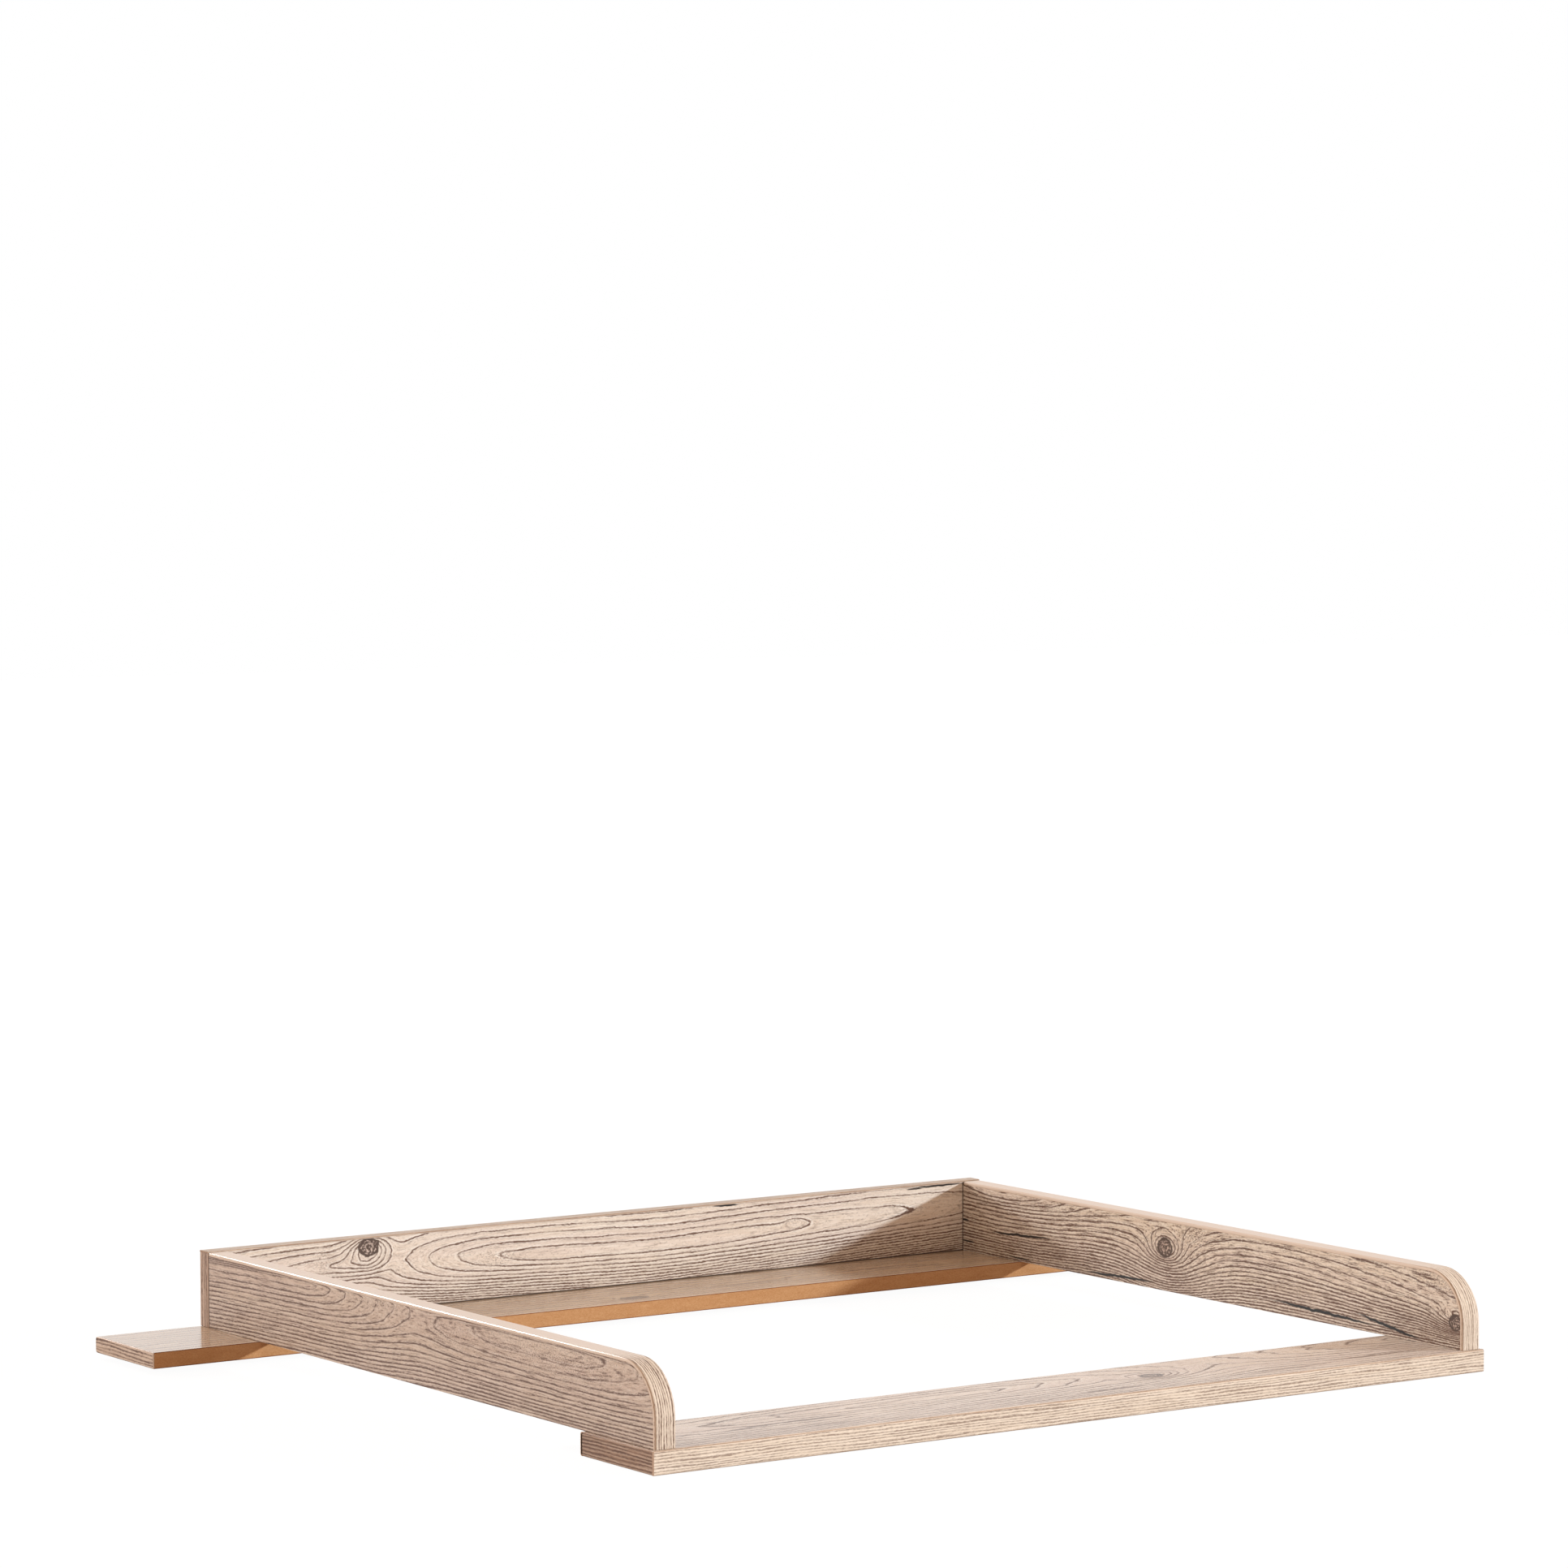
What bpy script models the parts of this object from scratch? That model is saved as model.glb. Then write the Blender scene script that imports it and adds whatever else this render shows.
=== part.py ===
"""A changing top: a frame of three rails on edge, open at the front, joined by two boards that lie flat.

The front board lies under the front ends of the side rails. The rear board lies under their rear ends and
under the back rail, and runs out past the frame on both sides. The frame stands on a dresser, whose top fills
the space between the two boards and carries the undersides of the side rails.

X runs to the right along the front, Y to the back and Z up. The origin is on the ground, under the middle of
the outer sizes. Every length is in metres.
"""

import math
from typing import NamedTuple

import bmesh
import bpy
from mathutils import Matrix, Vector

# Side rails
FRAME_WIDTH = 0.950
RAIL_LENGTH = 0.825
RAIL_HEIGHT = 0.075
RAIL_THICKNESS = 0.022
RAIL_CORNER_RADIUS = 0.050

# Back rail
BACK_RAIL_THICKNESS = 0.018
BACK_RAIL_RISE = 0.001

# Front board
FRONT_BOARD_THICKNESS = 0.022
FRONT_BOARD_DEPTH = 0.122
FRONT_OVERHANG = 0.003
SIDE_OVERHANG = 0.003

# Rear board
REAR_BOARD_THICKNESS = 0.016
REAR_BOARD_DEPTH = 0.122
REAR_WING_LENGTH = 0.117

# Edge bands: how thick each one is, and the radius that its outer edges are milled to
LONG_BAND_THICKNESS = 0.003
FRONT_BAND_RADIUS = 0.0018
BACK_BAND_RADIUS = 0.0028
RAIL_BAND_RADIUS = 0.0018
END_BAND_THICKNESS = 0.0015
END_BAND_RADIUS = 0.0012

# Clearances: between screwed boards, between a board and its band, and round a screw or a dowel
JOINT_GAP = 0.0003
GLUE_LINE = 0.0002
BORE_GAP = 0.0003
CUT_OVERRUN = 0.002

# One-piece connecting screw with a countersunk head and a hexagon socket
SCREW_LENGTH = 0.050
SCREW_HEAD_RADIUS = 0.005
SCREW_HEAD_RIM = 0.0008
SCREW_CONE_DEPTH = 0.0017
SCREW_NECK_RADIUS = 0.0035
SCREW_NECK_LENGTH = 0.0090
SCREW_CORE_RADIUS = 0.0024
SCREW_TIP_RADIUS = 0.0010
SCREW_TIP_LENGTH = 0.0040
SCREW_SOCKET_WIDTH = 0.0040
SCREW_SOCKET_DEPTH = 0.0020
SCREW_SINK = 0.0004
PILOT_SPARE_DEPTH = 0.0015

# Fluted wooden dowel
DOWEL_LENGTH = 0.030
DOWEL_RADIUS = 0.004
DOWEL_FLUTE_DEPTH = 0.0003
DOWEL_CHAMFER = 0.001
DOWEL_DEPTH_IN_BOARD = 0.010
DOWEL_SPARE_DEPTH = 0.001

# Where the fasteners sit, as shares of each joint: from its front or its bottom on the first six lines, and
# of the frame's width from the middle on the last two
FRONT_JOINT_SCREW_SHARES = (0.20, 0.80)
FRONT_JOINT_DOWEL_SHARE = 0.50
REAR_JOINT_SCREW_SHARE = 0.26
REAR_JOINT_DOWEL_SHARE = 0.55
BACK_JOINT_SCREW_SHARES = (0.25, 0.75)
BACK_JOINT_DOWEL_SHARE = 0.50
LONG_JOINT_SCREW_SHARES = (-0.34, 0.0, 0.34)
LONG_JOINT_DOWEL_SHARES = (-0.17, 0.17)

# Facets
CORNER_STEPS = 16
BAND_EDGE_STEPS = 4
SCREW_SIDES = 24
DOWEL_FLUTES = 10
SMOOTH_ANGLE = math.radians(32)
QUARTER_TURN = math.radians(90)
HEXAGON_STEP = math.radians(60)

# Places that follow from the sizes
TOTAL_DEPTH = FRONT_OVERHANG + RAIL_LENGTH + JOINT_GAP + BACK_RAIL_THICKNESS
FRONT_Y = -TOTAL_DEPTH / 2
BACK_Y = TOTAL_DEPTH / 2
RAIL_FRONT_Y = FRONT_Y + FRONT_OVERHANG
RAIL_REAR_Y = RAIL_FRONT_Y + RAIL_LENGTH
BACK_RAIL_FRONT_Y = BACK_Y - BACK_RAIL_THICKNESS
BACK_RAIL_MIDDLE_Y = BACK_Y - BACK_RAIL_THICKNESS / 2
REAR_BOARD_FRONT_Y = BACK_Y - REAR_BOARD_DEPTH
BOARD_TOP_Z = FRONT_BOARD_THICKNESS
REAR_BOARD_BOTTOM_Z = BOARD_TOP_Z - REAR_BOARD_THICKNESS
RAIL_BOTTOM_Z = BOARD_TOP_Z + JOINT_GAP
RAIL_X = (FRAME_WIDTH - RAIL_THICKNESS) / 2
BACK_RAIL_TOP_Z = RAIL_BOTTOM_Z + RAIL_HEIGHT + BACK_RAIL_RISE
SIDES = (("left", -1), ("right", 1))

# Finishes: base colour, metallic, roughness
FINISHES = {
    "oak_decor": ((0.66, 0.53, 0.42), 0.0, 0.55),
    "oak_band": ((0.62, 0.49, 0.38), 0.0, 0.50),
    "beech": ((0.68, 0.48, 0.30), 0.0, 0.70),
    "zinc_steel": ((0.62, 0.62, 0.60), 1.0, 0.35),
}


class Fastener(NamedTuple):
    """A screw or a dowel, from the board with its head or its short end into the board beyond the joint."""

    name: str
    is_screw: bool
    board: str
    rail: str
    point: tuple
    turn: float


def new_material(name, finish):
    """A material of a finish for one piece."""
    colour, metallic, roughness = FINISHES[finish]
    material = bpy.data.materials.new(name)
    material.use_nodes = True
    shader = material.node_tree.nodes["Principled BSDF"]
    shader.inputs["Base Color"].default_value = (*colour, 1.0)
    shader.inputs["Metallic"].default_value = metallic
    shader.inputs["Roughness"].default_value = roughness
    return material


def finished_mesh(name, form, finish, smooth=False):
    """Turns a bmesh into a mesh with a material, and with its faces pointing out."""
    bmesh.ops.recalc_face_normals(form, faces=form.faces)
    mesh = bpy.data.meshes.new(name)
    form.to_mesh(mesh)
    form.free()
    mesh.materials.append(new_material(name, finish))
    if smooth:
        mesh.shade_smooth()
        mesh.set_sharp_from_angle(angle=SMOOTH_ANGLE)
    return mesh


def place(name, mesh, location=(0, 0, 0), rotation=(0, 0, 0)):
    """Adds one sub-part to the changing top."""
    part = bpy.data.objects.new(name, mesh)
    part.location = location
    part.rotation_euler = rotation
    part.parent = bpy.data.objects["changing_top"]
    bpy.context.scene.collection.objects.link(part)
    return part


def slab(name, low, high):
    """A board with square edges between two opposite corners, about its own middle."""
    form = bmesh.new()
    bmesh.ops.create_cube(form, size=1)
    bmesh.ops.scale(form, vec=Vector(high) - Vector(low), verts=form.verts)
    return place(name, finished_mesh(name, form, "oak_decor"), (Vector(low) + Vector(high)) / 2)


def skin_rings(form, rings):
    """Joins rings of vertices into a tube and closes both ends."""
    for first, second in zip(rings, rings[1:]):
        for i in range(len(first)):
            j = (i + 1) % len(first)
            form.faces.new((first[i], first[j], second[j], second[i]))
    form.faces.new(rings[0])
    form.faces.new(reversed(rings[-1]))


def arc(centre, radius, start, steps):
    """Points of a quarter circle from a start angle."""
    angles = [start + QUARTER_TURN * step / steps for step in range(steps + 1)]
    return [(centre[0] + radius * math.cos(a), centre[1] + radius * math.sin(a)) for a in angles]


def band_section(width, thickness, radius):
    """Cross-section of an edge band, as (across, outward) from the middle of its glued face."""
    inner = width / 2 - radius
    depth = thickness - radius
    right_edge = arc((inner, depth), radius, 0, BAND_EDGE_STEPS)
    left_edge = arc((-inner, depth), radius, QUARTER_TURN, BAND_EDGE_STEPS)
    return [(-width / 2, 0), (width / 2, 0)] + right_edge + left_edge


def swept_band(name, section, stations):
    """Sweeps a section along stations of (origin, across, outward)."""
    form = bmesh.new()
    rings = []
    for origin, across, outward in stations:
        rings.append([form.verts.new(origin + across * u + outward * v) for u, v in section])
    skin_rings(form, rings)
    return finished_mesh(name, form, "oak_band", smooth=True)


def straight_band(name, length, section, location, rotation=(0, 0, 0)):
    """A band along a straight edge. Unturned, it runs along X and its outer face looks to the front."""
    across, outward = Vector((0, 0, 1)), Vector((0, -1, 0))
    stations = [(Vector((end * length / 2, 0, 0)), across, outward) for end in (-1, 1)]
    return place(name, swept_band(name, section, stations), location, rotation)


def end_band(name, sign, board_end, front, back, bottom, top):
    """The band on one end of a flat board, which also covers the end of the board's back band.

    Its outer edges are rounded over, except the front one, and its back corners follow the back band.
    """
    radius = BACK_BAND_RADIUS
    middle = Vector((board_end - sign * END_BAND_THICKNESS, (front + back) / 2, (bottom + top) / 2))
    half_depth, half_height = (back - front) / 2, (top - bottom) / 2
    outline = [(-half_depth, half_height), (-half_depth, -half_height)]
    outline += arc((half_depth - radius, radius - half_height), radius, -QUARTER_TURN, BAND_EDGE_STEPS)
    outline += arc((half_depth - radius, half_height - radius), radius, 0, BAND_EDGE_STEPS)
    form = bmesh.new()
    glued, outer = [
        [form.verts.new((x, y, z)) for y, z in outline] for x in (0, sign * END_BAND_THICKNESS)
    ]
    skin_rings(form, (glued, outer))
    front_pair = set(outer[:2])
    rim = [e for e in form.edges if set(e.verts) <= set(outer) and set(e.verts) != front_pair]
    bmesh.ops.bevel(
        form, geom=rim, offset=END_BAND_RADIUS, offset_type="OFFSET", segments=BAND_EDGE_STEPS,
        profile=0.5, affect="EDGES",
    )
    place(name, finished_mesh(name, form, "oak_band", smooth=True), middle)


def rail_edge(inset):
    """Stations along the top, the round corner and the front end of a side rail, set in from its outline.

    Each is (y, z, angle of the outward normal), with y and z from the rail's rear bottom corner.
    """
    centre = (RAIL_CORNER_RADIUS - RAIL_LENGTH, RAIL_HEIGHT - RAIL_CORNER_RADIUS)
    corner = arc(centre, RAIL_CORNER_RADIUS - inset, QUARTER_TURN, CORNER_STEPS)
    stations = [(0, RAIL_HEIGHT - inset, QUARTER_TURN)]
    for step, (y, z) in enumerate(corner):
        stations.append((y, z, QUARTER_TURN * (1 + step / CORNER_STEPS)))
    stations.append((inset - RAIL_LENGTH, 0, 2 * QUARTER_TURN))
    return stations


def side_rail(side, sign):
    """A rail on edge, and the one band that runs along its top, round its corner and down its front end."""
    rear_corner = (sign * RAIL_X, RAIL_REAR_Y, RAIL_BOTTOM_Z)
    outline = [(y, z) for y, z, _ in rail_edge(LONG_BAND_THICKNESS + GLUE_LINE)] + [(0, 0)]
    form = bmesh.new()
    rings = [
        [form.verts.new((end * RAIL_THICKNESS / 2, y, z)) for y, z in outline] for end in (-1, 1)
    ]
    skin_rings(form, rings)
    name = f"{side}_rail"
    place(name, finished_mesh(name, form, "oak_decor", smooth=True), rear_corner)

    stations = [
        (Vector((0, y, z)), Vector((1, 0, 0)), Vector((0, math.cos(angle), math.sin(angle))))
        for y, z, angle in rail_edge(LONG_BAND_THICKNESS)
    ]
    section = band_section(RAIL_THICKNESS, LONG_BAND_THICKNESS, RAIL_BAND_RADIUS)
    name = f"{side}_rail_band"
    place(name, swept_band(name, section, stations), rear_corner)


def back_rail():
    """The rail behind the side rails, with a band along its top and one on each end."""
    half_width = FRAME_WIDTH / 2
    core_end = half_width - END_BAND_THICKNESS - GLUE_LINE
    core_top = BACK_RAIL_TOP_Z - END_BAND_THICKNESS - GLUE_LINE
    slab("back_rail", (-core_end, BACK_RAIL_FRONT_Y, RAIL_BOTTOM_Z), (core_end, BACK_Y, core_top))
    section = band_section(BACK_RAIL_THICKNESS, END_BAND_THICKNESS, END_BAND_RADIUS)
    top = (0, BACK_RAIL_MIDDLE_Y, BACK_RAIL_TOP_Z - END_BAND_THICKNESS)
    straight_band("back_rail_band_top", FRAME_WIDTH, section, top, (-QUARTER_TURN, 0, 0))
    for side, sign in SIDES:
        turn = Matrix.Rotation(sign * QUARTER_TURN, 3, "Z") @ Matrix.Rotation(QUARTER_TURN, 3, "Y")
        place_on_end = (
            sign * (half_width - END_BAND_THICKNESS), BACK_RAIL_MIDDLE_Y, (RAIL_BOTTOM_Z + core_top) / 2,
        )
        straight_band(
            f"back_rail_band_{side}", core_top - RAIL_BOTTOM_Z, section, place_on_end, turn.to_euler()
        )


def flat_board(name, length, front, back, bottom, top):
    """A flat board up to its back and end bands. Its front face is at front, behind any front band."""
    core_end = length / 2 - END_BAND_THICKNESS - GLUE_LINE
    back_band_y = back - LONG_BAND_THICKNESS
    slab(name, (-core_end, front, bottom), (core_end, back_band_y - GLUE_LINE, top))
    section = band_section(top - bottom, LONG_BAND_THICKNESS, BACK_BAND_RADIUS)
    middle = (0, back_band_y, (bottom + top) / 2)
    straight_band(f"{name}_band_back", 2 * core_end, section, middle, (0, 0, 2 * QUARTER_TURN))
    for side, sign in SIDES:
        end_band(f"{name}_band_{side}", sign, sign * length / 2, front, back, bottom, top)


def front_board():
    """The board under the front ends of the side rails, banded all round."""
    length = FRAME_WIDTH + 2 * SIDE_OVERHANG
    band_y = FRONT_Y + LONG_BAND_THICKNESS
    flat_board("front_board", length, band_y + GLUE_LINE, FRONT_Y + FRONT_BOARD_DEPTH, 0, BOARD_TOP_Z)
    section = band_section(FRONT_BOARD_THICKNESS, LONG_BAND_THICKNESS, FRONT_BAND_RADIUS)
    straight_band("front_board_band_front", length, section, (0, band_y, BOARD_TOP_Z / 2))


def rear_board():
    """The long board under the rear ends of the rails. Its front edge, against the dresser, is left raw."""
    length = FRAME_WIDTH + 2 * REAR_WING_LENGTH
    flat_board("rear_board", length, REAR_BOARD_FRONT_Y, BACK_Y, REAR_BOARD_BOTTOM_Z, BOARD_TOP_Z)


def turn_profile(form, profile, sides, matrix=None):
    """Turns a profile of (radius, height) about Z. A radius may be a function of the angle."""
    rings = []
    for radius, height in profile:
        ring = []
        for i in range(sides):
            angle = 2 * math.pi * i / sides
            reach = radius(angle) if callable(radius) else radius
            point = Vector((reach * math.cos(angle), reach * math.sin(angle), height))
            ring.append(form.verts.new(matrix @ point if matrix else point))
        rings.append(ring)
    skin_rings(form, rings)


def socket_reach(angle):
    """How far the wall of the hexagon socket is from the screw's axis, at an angle about it."""
    return SCREW_SOCKET_WIDTH / 2 / math.cos(angle % HEXAGON_STEP - HEXAGON_STEP / 2)


def screw_mesh():
    """The connecting screw, with the top of its head at zero and its tip towards +Z."""
    neck_start = SCREW_HEAD_RIM + SCREW_CONE_DEPTH
    neck_end = neck_start + SCREW_NECK_LENGTH
    core_start = neck_end + SCREW_NECK_RADIUS - SCREW_CORE_RADIUS
    profile = (
        (socket_reach, SCREW_SOCKET_DEPTH),
        (socket_reach, 0),
        (SCREW_HEAD_RADIUS, 0),
        (SCREW_HEAD_RADIUS, SCREW_HEAD_RIM),
        (SCREW_NECK_RADIUS, neck_start),
        (SCREW_NECK_RADIUS, neck_end),
        (SCREW_CORE_RADIUS, core_start),
        (SCREW_CORE_RADIUS, SCREW_LENGTH - SCREW_TIP_LENGTH),
        (SCREW_TIP_RADIUS, SCREW_LENGTH),
    )
    form = bmesh.new()
    turn_profile(form, profile, SCREW_SIDES)
    return finished_mesh("connecting_screw", form, "zinc_steel", smooth=True)


def fluted(radius):
    """The outline of a fluted dowel, as a function of the angle."""
    return lambda angle: radius - DOWEL_FLUTE_DEPTH * (1 - math.cos(DOWEL_FLUTES * angle)) / 2


def dowel_mesh():
    """The dowel, with the joint that it crosses at zero and its longer end towards +Z."""
    low, high = -DOWEL_DEPTH_IN_BOARD, DOWEL_LENGTH - DOWEL_DEPTH_IN_BOARD
    slim, full = fluted(DOWEL_RADIUS - DOWEL_CHAMFER), fluted(DOWEL_RADIUS)
    profile = ((slim, low), (full, low + DOWEL_CHAMFER), (full, high - DOWEL_CHAMFER), (slim, high))
    form = bmesh.new()
    turn_profile(form, profile, 2 * DOWEL_FLUTES)
    return finished_mesh("wooden_dowel", form, "beech", smooth=True)


def screw_bores(board_thickness):
    """Profiles of the hole through the board under the head, and of the pilot hole beyond it.

    Both are in the screw's own frame, where the board's outer face is at -SCREW_SINK.
    """
    face = -SCREW_SINK
    joint = face + board_thickness
    rim, shank, pilot = (r + BORE_GAP for r in (SCREW_HEAD_RADIUS, SCREW_NECK_RADIUS, SCREW_CORE_RADIUS))
    cone_start = SCREW_HEAD_RIM + BORE_GAP
    through = (
        (rim, face - CUT_OVERRUN),
        (rim, cone_start),
        (shank, cone_start + rim - shank),
        (shank, joint + CUT_OVERRUN),
    )
    beyond = ((pilot, joint - CUT_OVERRUN), (pilot, SCREW_LENGTH + PILOT_SPARE_DEPTH))
    return through, beyond


def dowel_bores():
    """Profiles of the blind holes on the two sides of a dowel's joint, in the dowel's own frame."""
    radius = DOWEL_RADIUS + BORE_GAP
    board_end = -DOWEL_DEPTH_IN_BOARD - DOWEL_SPARE_DEPTH
    rail_end = DOWEL_LENGTH - DOWEL_DEPTH_IN_BOARD + DOWEL_SPARE_DEPTH
    return ((radius, board_end), (radius, CUT_OVERRUN)), ((radius, -CUT_OVERRUN), (radius, rail_end))


def corner_fasteners(side, sign):
    """The screws and dowels that hold one side rail."""
    rail, x = f"{side}_rail", sign * RAIL_X

    def on_front_board(share):
        return (x, FRONT_Y + FRONT_BOARD_DEPTH * share, BOARD_TOP_Z)

    def on_rear_board(share):
        return (x, REAR_BOARD_FRONT_Y + (RAIL_REAR_Y - REAR_BOARD_FRONT_Y) * share, BOARD_TOP_Z)

    def on_back_rail(share):
        return (x, BACK_RAIL_FRONT_Y, RAIL_BOTTOM_Z + RAIL_HEIGHT * share)

    fasteners = [
        Fastener(f"dowel_front_{side}", False, "front_board", rail, on_front_board(FRONT_JOINT_DOWEL_SHARE), 0),
        Fastener(f"screw_rear_{side}", True, "rear_board", rail, on_rear_board(REAR_JOINT_SCREW_SHARE), 0),
        Fastener(f"dowel_rear_{side}", False, "rear_board", rail, on_rear_board(REAR_JOINT_DOWEL_SHARE), 0),
        Fastener(
            f"dowel_back_{side}", False, "back_rail", rail, on_back_rail(BACK_JOINT_DOWEL_SHARE), QUARTER_TURN
        ),
    ]
    for end, share in zip(("fore", "aft"), FRONT_JOINT_SCREW_SHARES):
        name = f"screw_front_{side}_{end}"
        fasteners.append(Fastener(name, True, "front_board", rail, on_front_board(share), 0))
    for end, share in zip(("low", "high"), BACK_JOINT_SCREW_SHARES):
        name = f"screw_back_{side}_{end}"
        fasteners.append(Fastener(name, True, "back_rail", rail, on_back_rail(share), QUARTER_TURN))
    return fasteners


def long_joint_fasteners():
    """The screws and dowels between the rear board and the back rail."""
    fasteners = []
    for kind, is_screw, shares in (
        ("screw", True, LONG_JOINT_SCREW_SHARES),
        ("dowel", False, LONG_JOINT_DOWEL_SHARES),
    ):
        for number, share in enumerate(shares, 1):
            point = (FRAME_WIDTH * share, BACK_RAIL_MIDDLE_Y, BOARD_TOP_Z)
            name = f"{kind}_long_joint_{number}"
            fasteners.append(Fastener(name, is_screw, "rear_board", "back_rail", point, 0))
    return fasteners


def fasten(fasteners):
    """Adds the screws and dowels, and bores the boards for them."""
    thickness = {
        "front_board": FRONT_BOARD_THICKNESS,
        "rear_board": REAR_BOARD_THICKNESS,
        "back_rail": BACK_RAIL_THICKNESS,
    }
    screw, dowel = screw_mesh(), dowel_mesh()
    drills = {}
    for fastener in fasteners:
        turn = Matrix.Rotation(fastener.turn, 4, "X")
        location = Vector(fastener.point)
        if fastener.is_screw:
            location -= turn @ Vector((0, 0, thickness[fastener.board] - SCREW_SINK))
            bores = screw_bores(thickness[fastener.board])
        else:
            bores = dowel_bores()
        for board, bore in zip((fastener.board, fastener.rail), bores):
            drill = drills.setdefault(board, bmesh.new())
            turn_profile(drill, bore, SCREW_SIDES, Matrix.Translation(location) @ turn)
        place(fastener.name, screw if fastener.is_screw else dowel, location, (fastener.turn, 0, 0))
    for board, drill in drills.items():
        cutter = place(f"{board}_drill", finished_mesh(f"{board}_drill", drill, "zinc_steel"))
        cutter.hide_render = True
        cutter.display_type = "WIRE"
        cut = bpy.data.objects[board].modifiers.new("bores", "BOOLEAN")
        cut.operation = "DIFFERENCE"
        cut.solver = "EXACT"
        cut.object = cutter


def main():
    """Clears the scene and builds the changing top."""
    for old in list(bpy.data.objects):
        bpy.data.objects.remove(old, do_unlink=True)
    bpy.context.scene.collection.objects.link(bpy.data.objects.new("changing_top", None))
    fasteners = long_joint_fasteners()
    for side, sign in SIDES:
        side_rail(side, sign)
        fasteners += corner_fasteners(side, sign)
    back_rail()
    front_board()
    rear_board()
    fasten(fasteners)


main()
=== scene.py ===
"""Dresses the changing top: oak decor boards, swept edge bands, raw fibreboard, screws and dowels."""

import logging
import math
from dataclasses import dataclass, field, replace
from enum import Enum
from typing import Any, Mapping, Optional, Sequence, Union

import bmesh
import bpy
from mathutils import Matrix, Vector


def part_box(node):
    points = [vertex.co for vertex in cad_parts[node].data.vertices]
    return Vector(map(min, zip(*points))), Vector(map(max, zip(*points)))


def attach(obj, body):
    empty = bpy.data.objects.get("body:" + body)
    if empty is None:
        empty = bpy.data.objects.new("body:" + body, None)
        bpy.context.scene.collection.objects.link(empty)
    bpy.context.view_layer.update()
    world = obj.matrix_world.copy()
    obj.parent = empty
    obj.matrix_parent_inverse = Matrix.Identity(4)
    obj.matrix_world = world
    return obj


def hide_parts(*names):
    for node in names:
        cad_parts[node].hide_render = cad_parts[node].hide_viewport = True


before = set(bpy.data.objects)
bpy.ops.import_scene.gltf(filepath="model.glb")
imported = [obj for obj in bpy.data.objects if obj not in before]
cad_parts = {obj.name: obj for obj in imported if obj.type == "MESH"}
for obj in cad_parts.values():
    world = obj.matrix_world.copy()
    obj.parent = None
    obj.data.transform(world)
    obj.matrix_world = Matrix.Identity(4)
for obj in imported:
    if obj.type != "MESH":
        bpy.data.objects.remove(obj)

log = logging.getLogger("changing_top")

Colour = tuple[float, float, float]
Place = tuple[float, float, float]
MILLIMETRE = 0.001
MILLIMETRES = 1000.0
SAME_PLACE = 1e-6


class Flow:
    """One number that runs through a node tree; arithmetic on it adds Math nodes."""

    def __init__(self, tree: "Shader", socket: bpy.types.NodeSocket) -> None:
        """Wraps a socket of the tree."""
        self.tree = tree
        self.socket = socket

    def math(self, operation: str, *values: "Number") -> "Flow":
        """Adds one Math node.

        Args:
            operation: the node's operation.
            values: the numbers or flows for its inputs, in order.

        Returns:
            The node's result.
        """
        node = self.tree.add("ShaderNodeMath", {"operation": operation}, dict(enumerate(values)))
        return Flow(self.tree, node.outputs[0])

    def __add__(self, other: "Number") -> "Flow":
        """Returns self + other."""
        return self.math("ADD", self, other)

    def __radd__(self, other: "Number") -> "Flow":
        """Returns other + self."""
        return self.math("ADD", other, self)

    def __sub__(self, other: "Number") -> "Flow":
        """Returns self - other."""
        return self.math("SUBTRACT", self, other)

    def __rsub__(self, other: "Number") -> "Flow":
        """Returns other - self."""
        return self.math("SUBTRACT", other, self)

    def __mul__(self, other: "Number") -> "Flow":
        """Returns self * other."""
        return self.math("MULTIPLY", self, other)

    def __rmul__(self, other: "Number") -> "Flow":
        """Returns other * self."""
        return self.math("MULTIPLY", other, self)

    def __truediv__(self, other: "Number") -> "Flow":
        """Returns self / other."""
        return self.math("DIVIDE", self, other)

    def __rtruediv__(self, other: "Number") -> "Flow":
        """Returns other / self."""
        return self.math("DIVIDE", other, self)

    def __neg__(self) -> "Flow":
        """Returns the number with its sign turned."""
        return self.math("MULTIPLY", self, -1.0)

    def __abs__(self) -> "Flow":
        """Returns the number without its sign."""
        return self.math("ABSOLUTE", self)

    def __pow__(self, other: "Number") -> "Flow":
        """Returns self to the power other."""
        return self.math("POWER", self, other)

    def exp(self) -> "Flow":
        """Returns e to the power self."""
        return self.math("EXPONENT", self)

    def fract(self) -> "Flow":
        """Returns what follows the decimal point."""
        return self.math("FRACT", self)

    def floor(self) -> "Flow":
        """Returns the whole number below."""
        return self.math("FLOOR", self)

    def least(self, other: "Number") -> "Flow":
        """Returns the smaller of the two."""
        return self.math("MINIMUM", self, other)

    def most(self, other: "Number") -> "Flow":
        """Returns the larger of the two."""
        return self.math("MAXIMUM", self, other)

    def step(self, low: float, high: float) -> "Flow":
        """Adds a soft step.

        Args:
            low: where the step starts.
            high: where it ends; below low it is a falling step.

        Returns:
            0 before the step and 1 after it.
        """
        rising = high > low
        settings = {"interpolation_type": "SMOOTHSTEP", "clamp": True}
        ends = {"From Min": min(low, high), "From Max": max(low, high)}
        reach = {"To Min": 0.0 if rising else 1.0, "To Max": 1.0 if rising else 0.0}
        node = self.tree.add("ShaderNodeMapRange", settings, {"Value": self, **ends, **reach})
        return Flow(self.tree, node.outputs["Result"])

    def joined(self, other: "Number", reach: float) -> "Flow":
        """Returns the smaller of the two, rounded over where they meet."""
        return self.math("SMOOTH_MIN", self, other, reach)


Number = Union[Flow, float]
Link = Union[Flow, bpy.types.NodeSocket, float, Sequence[float]]


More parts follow.
